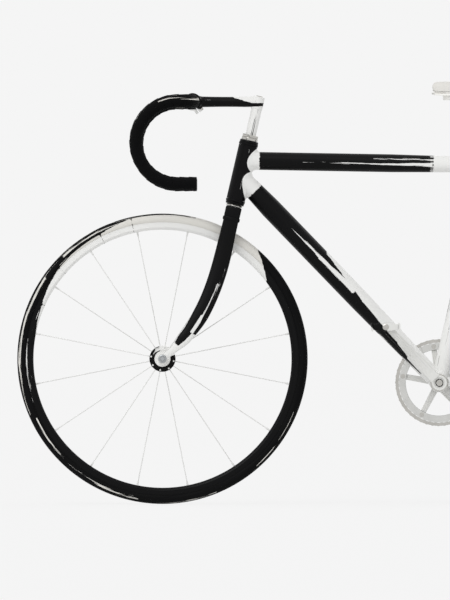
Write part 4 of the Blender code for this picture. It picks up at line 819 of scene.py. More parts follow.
def read_table(table, place):
    """Return a value read from a table of (place, value) rows, eased between them."""
    for (low, first), (high, second) in zip(table, table[1:]):
        if place <= high:
            t = (place - low) / (high - low)
            return first + (second - first) * t * t * (3 - 2 * t)
    return table[-1][1]


def blade_path():
    """Return the blade's centre line in the centre plane, from the crown to the axle."""
    axle = FRONT_AXLE - STEER_FOOT
    ends = [(BLADE_BEND_START, 0.0), *BLADE_HANDLES, (axle.dot(STEER_UP), axle.dot(STEER_FORWARD))]
    path = []
    straight = 14
    for step in range(straight):
        path.append(on_steering_axis(BLADE_TOP + (BLADE_BEND_START - BLADE_TOP) * step / straight))
    for step in range(BLADE_STEPS + 1):
        t = step / BLADE_STEPS
        weights = ((1 - t) ** 3, 3 * t * (1 - t) ** 2, 3 * t ** 2 * (1 - t), t ** 3)
        place = (sum(w * end[part] for w, end in zip(weights, ends)) for part in (0, 1))
        path.append(on_steering_axis(*place))
    return path


def run_lengths(points):
    """Return how far along a path each of its points lies."""
    reached = [0.0]
    for first, second in zip(points, points[1:]):
        reached.append(reached[-1] + (second - first).length)
    return reached


def mark_places(piece, places):
    """Note on each point of a piece where it lies on its brush stroke: along, across and above."""
    layer = piece.data.attributes.new("on_stroke", "FLOAT_VECTOR", "POINT")
    layer.data.foreach_set("vector", [part for place in places for part in place])


def on_marks(tree):
    """Return the place along, across and above the stroke that was noted on a piece."""
    return add(tree, "ShaderNodeAttribute", attribute_name="on_stroke").outputs["Vector"]


def make_fork():
    """Make the crown, the blades with their sockets and the forged ends."""
    path = blade_path()
    reached = run_lengths(path)
    coat = inked("brushed_enamel_fork_blades", on_marks, BLADE_CHORD / 2, (0.05, 0.25, 0.16, 0.34), (
        ((0.060, 0.150), (-0.80, -0.80), (-0.52, -0.50), 0.62),
        ((0.140, 0.235), (-0.62, -0.50), (-0.20, -0.10), 0.66),
        ((0.215, 0.262), (-0.45, -0.55), (0.02, 0.05), 0.90),
        ((0.258, 0.330), (-3, -3), (-0.30, 0.25), 1.0),
        ((0.298, 0.400), (-3, -3), (3, 3), 0.92)))
    crown_coat = inked(
        "brushed_enamel_crown", on_tube(HEAD_LOW, path[0]), BLADE_CHORD / 2, (0, 1, 0.22, 0.22))
    end_coat = inked(
        "brushed_enamel_fork_ends", on_tube(path[-2], path[-1]), FORK_END_RADIUS, (-1, 1, 0.93, 0.93))
    for name, side in SIDES:
        rings = []
        places = []
        for point, gone, (ahead, _) in zip(path, reached, tangents(path)):
            share = gone / reached[-1]
            fade = read_table(BLADE_FADE, share)
            chord = BLADE_CHORD + (BLADE_TIP_CHORD - BLADE_CHORD) * fade
            thick = BLADE_THICKNESS + (BLADE_TIP_THICKNESS - BLADE_THICKNESS) * fade
            centre = point + ACROSS * side * read_table(BLADE_SPREAD, share)
            chordwise = ahead.cross(ACROSS)
            turns = [2 * math.pi * step / BLADE_SIDES for step in range(BLADE_SIDES)]
            rings.append([centre + chordwise * (chord / 2 * math.cos(t)) + ACROSS * (thick / 2 * math.sin(t))
                          for t in turns])
            places += [(gone, thick / 2 * math.sin(t), chord / 2 * math.cos(t)) for t in turns]
        socket_rings = []
        for depth, proud in ((-0.002, 0), (0, SOCKET_PROUD), (SOCKET_DEPTH * 0.8, SOCKET_PROUD),
                             (SOCKET_DEPTH, 0)):
            centre = on_steering_axis(BLADE_TOP - depth) + ACROSS * side * BLADE_SPREAD_TOP
            first_ring = rings[0]
            middle = sum(first_ring, Vector()) / len(first_ring)
            socket_rings.append([
                centre + (point - middle) * (1 + proud * 2 / BLADE_THICKNESS) for point in first_ring])
        socket = skin(socket_rings)

        inner = side * (BLADE_TIP_MIDDLE - BLADE_TIP_THICKNESS / 2)
        outer = side * (BLADE_TIP_MIDDLE + BLADE_TIP_THICKNESS / 2)
        eye = []
        for step in range(FORK_END_SIDES + 1):
            turn = math.radians(-58 + 296 * step / FORK_END_SIDES)
            eye.append((FORK_END_RADIUS * math.cos(turn), FORK_END_RADIUS * math.sin(turn)))
        slot = [(-AXLE_SLOT, eye[-1][1])]
        slot += [(AXLE_SLOT * math.cos(t), AXLE_SLOT * math.sin(t))
                 for t in (math.pi - math.pi * step / 12 for step in range(13))]
        slot.append((AXLE_SLOT, eye[0][1]))
        outline = eye + slot
        plate = slab(FRONT_AXLE, AHEAD, UPWARD, outline, (inner, outer))
        blade = set_piece(f"fork_blade_tube_{name}", skin(rings), coat, "fork_body",
                          [f"fork_blade_{name}"])
        mark_places(blade, places)
        set_piece(f"crown_socket_{name}", softened(socket), crown_coat, "fork_body")
        set_piece(f"fork_end_{name}", softened(plate), end_coat, "fork_body")

    ends = [math.radians(degrees) for degrees in range(90, -91, -6)]
    half = CROWN_CHORD / 2
    side_end = BLADE_THICKNESS / 2
    left = [(half * math.sin(a), BLADE_SPREAD_TOP + side_end * math.cos(a)) for a in ends]
    outline = left + [(forward, -across) for forward, across in reversed(left)]
    low = BLADE_TOP + CROWN_GAP
    rings = [[on_steering_axis(level, forward) + ACROSS * across for forward, across in outline]
             for level in (low, low + CROWN_HEIGHT)]
    set_piece("fork_crown_casting", softened(skin(rings), 0.0035, 4), crown_coat, "fork_body",
              ["fork_crown"])


make_fork()

# Axles and axle nuts
# Solid hardened-steel axles with cut threads outside the locknuts, and hexagon nuts on serrated washers
# that clamp the fork ends and the dropouts. All are zinc plated.
AXLE_RADIUS = 0.005
THREAD_PITCH = 0.0016
THREAD_DEPTH = 0.00045
THREAD_START = 0.0004
# The bevel at the axle's tip, along it and across
TIP_BEVEL = (0.0006, 0.0005)
CONE_RADIUS = 0.008
CONE_LENGTH = 0.003
NUT_ACROSS = 0.015
NUT_HEIGHT = 0.010
WASHER_HEIGHT = 0.002
WASHER_RADIUS = 0.0092
WASHER_BEVEL = 0.0008
NUT_EDGE = 0.0008
AXLE_TIP = 0.004
AXLE_GAP = 0.0003
FRONT_LOCKNUTS = 0.100
REAR_LOCKNUTS = 0.120
DROPOUT_THICKNESS = 0.005
ZINC = "#B9BCBE"
# The plating's grain in millimetres, coarser than real
ZINC_GRAIN_MM = 0.9
# Cooler and duller than nickel, with a slight cloud
ZINC_PLATE = bare_metal("zinc_plated_steel", ZINC, 0.30, ZINC_GRAIN_MM)


def make_axle(end, centre, locknuts, holder, body):
    """Make one axle with cut threads at both ends, its cones, nuts and washers."""
    half = locknuts / 2
    face = half + holder + AXLE_GAP * 2
    reach = face + NUT_HEIGHT + AXLE_TIP
    turns = int((reach - half) / THREAD_PITCH)
    side_stations = [(half - CONE_LENGTH, AXLE_RADIUS), (half - CONE_LENGTH, CONE_RADIUS),
                     (half, CONE_RADIUS), (half, AXLE_RADIUS)]
    for count in range(turns * 2):
        place = half + THREAD_START + count * THREAD_PITCH / 2
        side_stations.append((place, AXLE_RADIUS - (THREAD_DEPTH if count % 2 else 0)))
    side_stations.append((reach - TIP_BEVEL[0], AXLE_RADIUS - THREAD_DEPTH))
    side_stations.append((reach, AXLE_RADIUS - THREAD_DEPTH - TIP_BEVEL[1]))
    set_piece(f"{end}_axle_threaded", rod(centre, ACROSS, mirrored(side_stations) + side_stations, 32),
              ZINC_PLATE, body, [f"{end}_axle"], crisp=50)
    corner = NUT_ACROSS / 2 / math.cos(math.pi / 6)
    for name, side in SIDES:
        start = centre + ACROSS * side * face
        washer = softened(turned(start, ACROSS * side, [
            (0, AXLE_RADIUS + AXLE_GAP), (0, WASHER_RADIUS), (WASHER_HEIGHT, WASHER_RADIUS - WASHER_BEVEL),
            (WASHER_HEIGHT, AXLE_RADIUS + AXLE_GAP)]))
        nut = softened(turned(start + ACROSS * side * WASHER_HEIGHT, ACROSS * side, [
            (0, AXLE_RADIUS + AXLE_GAP), (0, corner), (NUT_HEIGHT - WASHER_HEIGHT, corner),
            (NUT_HEIGHT - WASHER_HEIGHT, AXLE_RADIUS + AXLE_GAP)], 6), NUT_EDGE, 3)
        set_piece(f"{end}_axle_hexagon_nut_{name}", merged(washer, nut), ZINC_PLATE, body,
                  [f"{end}_axle_nut_{name}"])


make_axle("front", FRONT_AXLE, FRONT_LOCKNUTS, BLADE_TIP_THICKNESS, "fork_body")
make_axle("rear", REAR_AXLE, REAR_LOCKNUTS, DROPOUT_THICKNESS, "frame_body")

# Stem
# A cold-forged aluminium quill stem, enamelled white and brushed with ink from the bar clamp towards the
# shaft, where the brush ran nearly dry. A pinch bolt under the extension closes the split clamp.
STEM_EXTENSION = 0.140
STEM_RADII = (0.0115, 0.0106, 0.0115)
KNUCKLE_RADIUS = 0.0118
KNUCKLE_BELOW = 0.0165
KNUCKLE_ABOVE = 0.0108
QUILL_RADIUS = 0.0111
QUILL_BELOW_STEM = 0.1474
# How far the shaft runs into the knuckle
QUILL_OVERLAP = 0.002
CLAMP_RADIUS = 0.0185
CLAMP_BORE = 0.0130
CLAMP_WIDTH = 0.040
CLAMP_SLIT = 0.0022
# The least that the arm and the ears keep clear of a clamp's bore
BORE_WALL = 0.002
SLIT_ANGLE = math.radians(238)
CLAMP_STEPS = 72
# The ears' reach, thickness and width
CLAMP_EAR = (0.0085, 0.0062, 0.020)
KNUCKLE_FILLET = 0.0024
CLAMP_FILLET = 0.008
# Cap-screw heads: radius, height and the socket's width across its flats
PINCH_HEAD = (0.0042, 0.0045, 0.0040)
WEDGE_HEAD = (0.0068, 0.0028, 0.0060)
CRANK_HEAD = (0.0068, 0.0034, 0.0060)
RING_HEADS = ((0.0050, 0.0014, 0.0050), (0.0050, 0.0010, 0.0050))
SADDLE_HEAD = (0.0056, 0.0042, 0.0050)
WEDGE_HEAD_SUNK = 0.0008
SADDLE_HEAD_SUNK = 0.0006
SOCKET_DEEP = 0.005
SOCKET_ROUND = 36
POLISHED = "#D9D9D6"
BOLT_BLACK = "#1C1C1D"
# Marks of the polishing mop and grain of the black oxide in millimetres, both coarser than real
MOP_MM = 1.2
OXIDE_MM = 0.8

STEM_POINT = BAR_CENTRE - AHEAD * STEM_EXTENSION
# A soft mirror that takes up the paper round it
POLISHED_ALLOY = bare_metal("polished_aluminium", POLISHED, 0.14, MOP_MM, 0.2)
# Dull and nearly black, so that the axle sinks into the shell's shade
BLACK_OXIDE = bare_metal("black_oxide_steel", BOLT_BLACK, 0.38, OXIDE_MM)


def socket_bolt(start, way, radius, height, across):
    """Return a cap-screw head with a hexagonal socket, standing on a face."""
    way = way.normalized()
    first, second = crosswise(way)

    def hexagon(turn):
        local = (turn + math.pi / 6) % (math.pi / 3) - math.pi / 6
        return across / 2 / math.cos(local)

    levels = ((0, radius), (height * 0.86, radius), (height, radius - height * 0.14))
    spokes = spokes_round(first, second, SOCKET_ROUND)
    rings = [[start + way * level + out * around for out in spokes] for level, around in levels]
    for level in (height, height - SOCKET_DEEP if height > SOCKET_DEEP else height * 0.2):
        rings.append([start + way * level + out * hexagon(2 * math.pi * step / SOCKET_ROUND)
                      for step, out in enumerate(spokes)])
    return skin(rings)


def split_clamp(centre, axis, out, bore, outer, width, ear):
    """Return a ring slit on its out side with two ears, and its pinch bolt.

    ear is how far the ears stand out, how thick they are and how wide.
    """
    reach, thick, wide = ear
    aside = axis.cross(out)
    outline = []
    for around, order in ((outer, 1), (bore, -1)):
        gap = CLAMP_SLIT / 2 / around
        for step in range(CLAMP_STEPS + 1)[::order]:
            turn = gap + (2 * math.pi - 2 * gap) * step / CLAMP_STEPS
            outline.append((around * math.cos(turn), around * math.sin(turn)))
    ring = slab(centre, out, aside, outline, (-width / 2, width / 2), axis)
    pieces = [softened(ring, 0.0008)]
    tip = wide / 2
    start = bore + BORE_WALL
    end = outer + reach
    profile = [(-tip, start), (-tip, end - tip * 0.7), (-tip * 0.45, end), (tip * 0.45, end),
               (tip, end - tip * 0.7), (tip, start)]
    for side in (-1, 1):
        near = side * CLAMP_SLIT / 2
        far = side * (CLAMP_SLIT / 2 + thick)
        pieces.append(softened(slab(centre, axis, out, profile, (near, far), aside), 0.0012, 3))
    head = centre + out * (outer + reach * 0.42) + aside * (CLAMP_SLIT / 2 + thick)
    return merged(*pieces), socket_bolt(head, aside, *PINCH_HEAD)


def make_stem():
    """Make the quill, the extension with its knuckle, the clamp and the bolts."""
    shaft = rod(STEM_POINT - STEER_UP * QUILL_BELOW_STEM, STEER_UP, [
        (0, QUILL_RADIUS), (QUILL_BELOW_STEM - KNUCKLE_BELOW + QUILL_OVERLAP, QUILL_RADIUS)])
    quill_coat = inked(
        "brushed_enamel_quill", on_tube(STEM_POINT - STEER_UP * QUILL_BELOW_STEM, STEM_POINT), QUILL_RADIUS,
        (0, 1, 0.56, 0.56), (
            ((-1, 1), (-3, -3), (-0.36, -0.36), 1.2),
            ((-1, 1), (0.04, 0.04), (3, 3), 1.2)))
    set_piece("stem_quill_shaft", softened(shaft), quill_coat, "stem_body", ["stem"])
    coat = inked("brushed_enamel_stem", on_tube(BAR_CENTRE, STEM_POINT), STEM_RADII[0], (0, 1, 0.36, 0.36), (
        ((0.020, 0.110), (0.30, 0.20), (0.52, 0.44), 0.62),
        ((0.085, 0.125), (0.80, -0.15), (3, 3), 1.1),
        ((0.122, 0.200), (-0.20, -0.30), (3, 3), 1.1),
        ((0.095, 0.200), (-3, -3), (-1.0, -0.66), 1.1),
        ((-0.010, 0.060), (-3, -3), (-1.40, -1.40), 1.2)))
    knuckle = softened(rod(STEM_POINT - STEER_UP * KNUCKLE_BELOW, STEER_UP, [
        (0, KNUCKLE_RADIUS), (KNUCKLE_BELOW + KNUCKLE_ABOVE, KNUCKLE_RADIUS)]), 0.0014, 4)
    clear = KNUCKLE_RADIUS * 0.5
    reach = STEM_EXTENSION - CLAMP_BORE - BORE_WALL
    stations = []
    for step in range(25):
        share = step / 24
        waist = math.sin(math.pi * share)
        stations.append((clear + (reach - clear) * share,
                         STEM_RADII[0] + (STEM_RADII[1] - STEM_RADII[0]) * waist))
    arm = rod(STEM_POINT, AHEAD, stations)
    slit = AHEAD * math.cos(SLIT_ANGLE) + UPWARD * math.sin(SLIT_ANGLE)
    clamp, pinch = split_clamp(BAR_CENTRE, ACROSS, slit, CLAMP_BORE, CLAMP_RADIUS, CLAMP_WIDTH, CLAMP_EAR)
    set_piece("stem_extension_arm", merged(knuckle, arm, clamp), coat, "stem_body")
    fillet("fillet_stem_knuckle", STEM_POINT, AHEAD, STEM_RADII[0], (STEM_POINT, STEER_UP, KNUCKLE_RADIUS),
           KNUCKLE_FILLET, coat, "stem_body")
    fillet("fillet_stem_clamp", BAR_CENTRE, -AHEAD, STEM_RADII[2], (BAR_CENTRE, ACROSS, CLAMP_RADIUS),
           CLAMP_FILLET, coat, "stem_body")
    set_piece("stem_pinch_bolt", pinch, NICKEL_PLATE, "stem_body")
    top = socket_bolt(STEM_POINT + STEER_UP * (KNUCKLE_ABOVE - WEDGE_HEAD_SUNK), STEER_UP, *WEDGE_HEAD)
    set_piece("stem_wedge_bolt", top, NICKEL_PLATE, "stem_body")
    repaint("stem_wedge", ZINC_PLATE)


make_stem()

# Handlebar
# Drawn aluminium tube, bent into one round hook a side, with a swaged sleeve where the stem grips it.
# It is polished, and bare only between the clamp and the tape.
BAR_RADIUS = 0.0119
SLEEVE_RADIUS = 0.0127
SLEEVE_HALF = 0.023
# Distance from the bar's middle and its radius there, from the tape inwards
SLEEVE_SECTION = (
    (0.034, BAR_RADIUS), (SLEEVE_HALF + 0.0016, BAR_RADIUS), (SLEEVE_HALF, SLEEVE_RADIUS - 0.0003),
    (SLEEVE_HALF - 0.0006, SLEEVE_RADIUS), (0.006, SLEEVE_RADIUS))
BAR_HALF_WIDTH = 0.200
BAR_CORNER_RADIUS = 0.032
BAR_HOOK_RADIUS = 0.0875
BAR_TAIL = 0.040
TAPE_START = 0.045
PATH_STEP = 0.0035


def half_bar_path(spacing):
    """Return the bar's centre line from the tape's left start to the drop's end, evenly spaced."""
    straight = BAR_HALF_WIDTH - BAR_CORNER_RADIUS - TAPE_START
    corner = BAR_CORNER_RADIUS * math.pi / 2
    hook = BAR_HOOK_RADIUS * math.pi
    whole = straight + corner + hook + BAR_TAIL
    count = round(whole / spacing)
    path = []
    for step in range(count + 1):
        gone = whole * step / count
        if gone <= straight:
            place = Vector((0, TAPE_START + gone, 0))
        elif gone <= straight + corner:
            turn = (gone - straight) / BAR_CORNER_RADIUS
            place = Vector((BAR_CORNER_RADIUS * (1 - math.cos(turn)),
                            BAR_HALF_WIDTH - BAR_CORNER_RADIUS * (1 - math.sin(turn)), 0))
        elif gone <= straight + corner + hook:
            turn = (gone - straight - corner) / BAR_HOOK_RADIUS
            place = Vector((BAR_CORNER_RADIUS + BAR_HOOK_RADIUS * math.sin(turn), BAR_HALF_WIDTH,
                            BAR_HOOK_RADIUS * (math.cos(turn) - 1)))
        else:
            left = gone - straight - corner - hook
            place = Vector((BAR_CORNER_RADIUS - left, BAR_HALF_WIDTH, -2 * BAR_HOOK_RADIUS))
        path.append(BAR_CENTRE + place)
    return path


def other_side(points):
    """Return points mirrored to the bicycle's right."""
    return [Vector((point.x, -point.y, point.z)) for point in points]


def make_handlebar():
    """Make the bare bar with its sleeve."""
    left = half_bar_path(PATH_STEP * 2)
    points = left[::-1] + [BAR_CENTRE + ACROSS * place for place, _ in SLEEVE_SECTION]
    radii = [BAR_RADIUS] * len(left) + [radius for _, radius in SLEEVE_SECTION]
    bent = swept(points + other_side(points[::-1]), radii + radii[::-1], 40)
    set_piece("handlebar_tube", bent, POLISHED_ALLOY, "bar_body", ["handlebar"])


make_handlebar()

# Handlebar tape and end plugs
# White cotton tape, wound from the drops up with each turn half over the last, then inked black by hand.
# Its weave and its raised edges show, with dry streaks where the brush lifted. Rubber plugs hold its ends.
TAPE_OUTER = 0.0144
TAPE_STEP_HEIGHT = 0.0008
TURN_PITCH = 0.0195
TAPE_ROUND = 40
# Where each row of the wound strip lies across one turn's width, and how far down from its full height
TAPE_ROWS = ((0.0, 0.0), (0.05, 0.0), (0.30, 0.25), (0.60, 0.6), (0.90, 0.92), (0.97, 1.0))
END_FADE = 0.006
# The cotton's threads in millimetres, about twice a real thread so that the weave shows
THREAD_MM = 0.9
WEAVE_HEIGHT = 0.0002
FINISH_TAPE_WIDTH = 0.014
PLUG_CAP = 0.0021
PLUG_LENGTH = 0.012
PLUG_BODY = 0.0098
# Distance along the bar and radius there: the finishing band's from where the tape starts, and the
# plug's, with its dished cap, from the bar's end
BAND_SECTION = (
    (-0.0006, BAR_RADIUS), (-0.0006, TAPE_OUTER - 0.0001), (0.0, TAPE_OUTER + 0.0002),
    (FINISH_TAPE_WIDTH, TAPE_OUTER + 0.0002), (FINISH_TAPE_WIDTH, BAR_RADIUS))
PLUG_SECTION = (
    (-PLUG_LENGTH, PLUG_BODY), (0.0002, PLUG_BODY), (0.0002, TAPE_OUTER - 0.0005),
    (0.0008, TAPE_OUTER - 0.0002), (0.0014, TAPE_OUTER - 0.0010), (0.0018, TAPE_OUTER * 0.62),
    (0.0012, TAPE_OUTER * 0.55), (0.0012, TAPE_OUTER * 0.34), (PLUG_CAP - 0.0003, TAPE_OUTER * 0.28))
COTTON = "#E9E6DF"
RUBBER_BLACK = "#141414"


def wound_tape(points, winding):
    """Return a strip wound round a path with raised overlaps, and where each point lies on the bar."""
    frames = tangents(points)
    whole = run_lengths(points)[-1]
    rows_a_turn = len(TAPE_ROWS)
    turns = math.ceil(whole / TURN_PITCH) + 1
    bm = bmesh.new()
    mark = bm.verts.layers.float_vector.new("on_stroke")
    grid = []
    spacing = whole / (len(points) - 1)
    for row in range(-rows_a_turn, turns * rows_a_turn):
        share, drop = TAPE_ROWS[row % rows_a_turn]
        line = []
        for column in range(TAPE_ROUND):
            gone = TURN_PITCH * (row // rows_a_turn + share + column / TAPE_ROUND)
            held = min(max(gone, 0.0), whole)
            fade = min(1.0, held / END_FADE, (whole - held) / END_FADE)
            radius = TAPE_OUTER - TAPE_STEP_HEIGHT * (drop * fade + (1 - fade) * 0.6)
            spot = min(held / spacing, len(points) - 1.000001)
            index = int(spot)
            part = spot - index
            centre = points[index].lerp(points[index + 1], part)
            along = frames[index][0].lerp(frames[index + 1][0], part).normalized()
            side = frames[index][1].lerp(frames[index + 1][1], part)
            side = (side - along * side.dot(along)).normalized()
            turn = winding * 2 * math.pi * column / TAPE_ROUND
            out = side * math.cos(turn) + along.cross(side) * math.sin(turn)
            vert = bm.verts.new(centre + out * radius)
            vert[mark] = (held, TAPE_OUTER * math.cos(turn), TAPE_OUTER * math.sin(turn) * winding)
            line.append(vert)
        grid.append(line)
    for row in range(len(grid) - 1):
        for column in range(TAPE_ROUND):
            if column + 1 < TAPE_ROUND:
                face = (grid[row][column], grid[row][column + 1], grid[row + 1][column + 1],
                        grid[row + 1][column])
            elif row + rows_a_turn + 1 < len(grid):
                face = (grid[row][column], grid[row + rows_a_turn][0], grid[row + rows_a_turn + 1][0],
                        grid[row + 1][column])
            else:
                continue
            bm.faces.new(face)
    bmesh.ops.remove_doubles(bm, verts=bm.verts, dist=2e-5)
    bmesh.ops.dissolve_degenerate(bm, edges=bm.edges, dist=1e-6)
    loose = [vert for vert in bm.verts if not vert.link_faces]
    bmesh.ops.delete(bm, geom=loose, context="VERTS")
    bmesh.ops.holes_fill(bm, edges=[edge for edge in bm.edges if edge.is_boundary])
    bmesh.ops.recalc_face_normals(bm, faces=bm.faces)
    return bm


def inked_cotton():
    """Return woven cotton tape, inked black, whose white shows in streaks along the bar."""
    # The brush was wet at the drop's end and drier along the outside of the hook's upper half
    material = inked("inked_cotton_tape", on_marks, TAPE_OUTER, (0.05, 0.35, 0.42, 0.22), (
        ((0.090, 0.215), (-0.50, -0.70), (0.10, -0.30), 0.60),
        ((0.170, 0.330), (-0.95, -0.95), (-0.72, -0.76), 0.66)), dry=COTTON)
    tree, shader = painted(material)
    parts = add(tree, "ShaderNodeSeparateXYZ", {0: on_marks(tree)})
    round_bar = maths(tree, "ARCTAN2", parts.outputs[2], parts.outputs[1])
    threads = []
    for source, count in ((parts.outputs[0], 2 * math.pi * 1000 / THREAD_MM),
                          (round_bar.outputs[0], round(2 * math.pi * TAPE_OUTER * 1000 / THREAD_MM))):
        turned_by = maths(tree, "MULTIPLY", source, float(count))
        threads.append(maths(tree, "SINE", turned_by).outputs[0])
    weave = maths(tree, "MULTIPLY", threads[0], threads[1])
    for link in list(shader.inputs["Roughness"].links):
        tree.links.remove(link)
    wire(tree, shader, {
        "Roughness": 0.85,
        "Normal": relief(tree, weave, 0.5, WEAVE_HEIGHT)})
    return material


# A mould's pebble in millimetres, coarser than real, and the wider bloom that lies on rubber
PEBBLE_MM = 1.5
BLOOM_MM = 200 / 9
# How much lighter the bloom is: times the rubber's own colour, and plus a trace of white
RUBBER_BLOOM = (1.6, 0.004)


def moulded_rubber(name, colour, roughness):
    """Return moulded rubber or soft plastic with the mould's fine pebble."""
    material, tree, shader = new_material(name)
    place = own_place(tree)
    pebble = noise(tree, place, PEBBLE_MM, 2.0)
    cloud = noise(tree, place, BLOOM_MM, 3.0)
    wire(tree, shader, {
        "Base Color": clouded(tree, cloud, colour, *RUBBER_BLOOM), "Specular IOR Level": 0.2,
        "Roughness": ramp(tree, cloud, 0.0, 1.0, roughness - 0.1, roughness + 0.1),
        "Normal": relief(tree, pebble, 0.15, FINE_RELIEF)})
    return material


# Its matt black keeps almost no highlight, so that the bands and plugs end the tape quietly
RUBBER = moulded_rubber("moulded_black_rubber", RUBBER_BLACK, 0.6)


def make_tape():
    """Wind the tape on both sides and close its ends with a finishing band and a plug."""
    cotton = inked_cotton()
    left = half_bar_path(PATH_STEP)
    for name, points, winding in (("left", left, 1), ("right", other_side(left), -1)):
        set_piece(f"cotton_tape_{name}", wound_tape(points, winding), cotton, "bar_body",
                  [f"bar_tape_{name}"], crisp=50)
        out = (points[1] - points[0]).normalized()
        band = softened(turned(points[0], out, BAND_SECTION), 0.0002)
        set_piece(f"tape_finishing_band_{name}", band, RUBBER, "bar_body")
        way = (points[-1] - points[-2]).normalized()
        plug = rod(points[-1], way, PLUG_SECTION, 40)
        set_piece(f"drop_end_plug_{name}", plug, RUBBER, "bar_body", [f"bar_plug_{name}"])


make_tape()

# Tyres and rims
# Sewn tubular tyres with a thin file tread, glued to box-section alloy rims. Both are white, and one long
# brush stroke of ink runs round each: it starts in a point behind the crown, is wettest along the bottom
# and wears down at the top to a few bristle lines, with a last stretch left bare.
TYRE_CENTRE = 0.29725
TYRE_HALF_WIDTH = 0.0115
TYRE_HALF_HEIGHT = 0.01175
TREAD_HALF_ANGLE = 38
TREAD_STEP = 0.00035
TYRE_POINTS = 40
RIM_INNER = 0.2745
RIM_SHOULDER = 0.2805
RIM_HALF_WIDTH = 0.0095
RIM_BED_HALF = 0.005
RIM_TOP = 0.2898
WHEEL_ROUND = 192
STROKE_MIDDLE = (RIM_INNER + TYRE_CENTRE + TYRE_HALF_HEIGHT) / 2
STROKE_HALF = (TYRE_CENTRE + TYRE_HALF_HEIGHT - RIM_INNER) / 2
STROKE_START = math.radians(48.7)
STROKE_LENGTH = 336.0
# The pitch of the tread's ribs in millimetres, about twice a real file tread's, and their height in metres
FILE_TREAD_MM = 1.8
TREAD_RELIEF = 0.0003
RUBBER_WHITE = "#E4E2DC"


def round_axle(centre, middle, start):
    """Return how a brush that ran round an axle sees a place: along its sweep, across and outwards.

    The stroke leads from its start down past the rear, along the bottom and up the front.
    """

    def place_on(tree):
        place = own_place(tree)
        moved = vectors(tree, "SUBTRACT", place, centre)
        parts = add(tree, "ShaderNodeSeparateXYZ", {0: moved})
        behind = maths(tree, "MULTIPLY", parts, -1.0)
        turn = maths(tree, "ARCTAN2", parts.outputs[2], behind)
        swept_by = maths(tree, "SUBTRACT", start, turn)
        wrapped = maths(tree, "WRAP", swept_by, 2 * math.pi, 0.0)
        along = maths(tree, "MULTIPLY", wrapped, middle)
        flat = vectors(tree, "MULTIPLY", moved, (1, 0, 1))
        radius = vectors(tree, "LENGTH", flat)
        outward = maths(tree, "SUBTRACT", radius.outputs["Value"], middle)
        return add(tree, "ShaderNodeCombineXYZ", {
            0: along, 1: parts.outputs[1], 2: outward}).outputs[0]

    return place_on


def sweep(first, last, middle=STROKE_MIDDLE):
    """Return two places along a round stroke, from two angles in degrees."""
    return math.radians(first) * middle, math.radians(last) * middle


# The stroke's dry patches, by angle round the wheel from where it starts
WHEEL_PATCHES = (
    (sweep(-6, 14), (-3, -3), (1.8, -1.2), 1.2),
    (sweep(70, 98), (0.45, 0.50), (0.80, 0.80), 0.63),
    (sweep(116, 142), (0.66, 0.74), (0.96, 0.98), 0.72),
    (sweep(148, 204), (0.40, 0.06), (0.80, 0.44), 0.64),
    (sweep(207, 238), (-0.28, -0.26), (-0.02, -0.04), 0.80),
    (sweep(205, 264), (0.58, 0.30), (0.94, 0.84), 0.68),
    (sweep(236, 253), (-3, -3), (-1.10, -0.60), 1.2),
    (sweep(253, 270), (-3, -3), (-0.60, 0.02), 1.2),
    (sweep(262, 300), (0.96, 0.86), (3, 3), 0.80),
    (sweep(270, 292), (-3, -3), (0.02, 0.28), 1.2),
    (sweep(274, 306), (0.42, 0.45), (0.85, 0.70), 0.74),
    (sweep(292, 306), (-3, -3), (0.28, 0.80), 1.15),
    (sweep(306, STROKE_LENGTH), (-3, -3), (0.80, 0.90), 1.1),
    (sweep(STROKE_LENGTH - 4, 366), (-3, -3), (3, 3), 1.2))


def file_tread(material, place_on):
    """Give a tyre's ink its fine file tread: two sets of ribs that cross the crown at a slant."""
    tree, shader = painted(material)
    parts = add(tree, "ShaderNodeSeparateXYZ", {0: place_on(tree)})
    aside = maths(tree, "ABSOLUTE", parts.outputs[1])
    slant = maths(tree, "ADD", aside, parts)
    ribs = maths(tree, "MULTIPLY", slant, 2 * math.pi * 1000 / FILE_TREAD_MM)
    ribs = maths(tree, "SINE", ribs)
    crown = ramp(tree, parts.outputs[2], 0.010, 0.014, 0.0, 1.0)
    height = maths(tree, "MULTIPLY", ribs, crown)
    wire(tree, shader, {"Normal": relief(tree, height, 0.6, TREAD_RELIEF)})


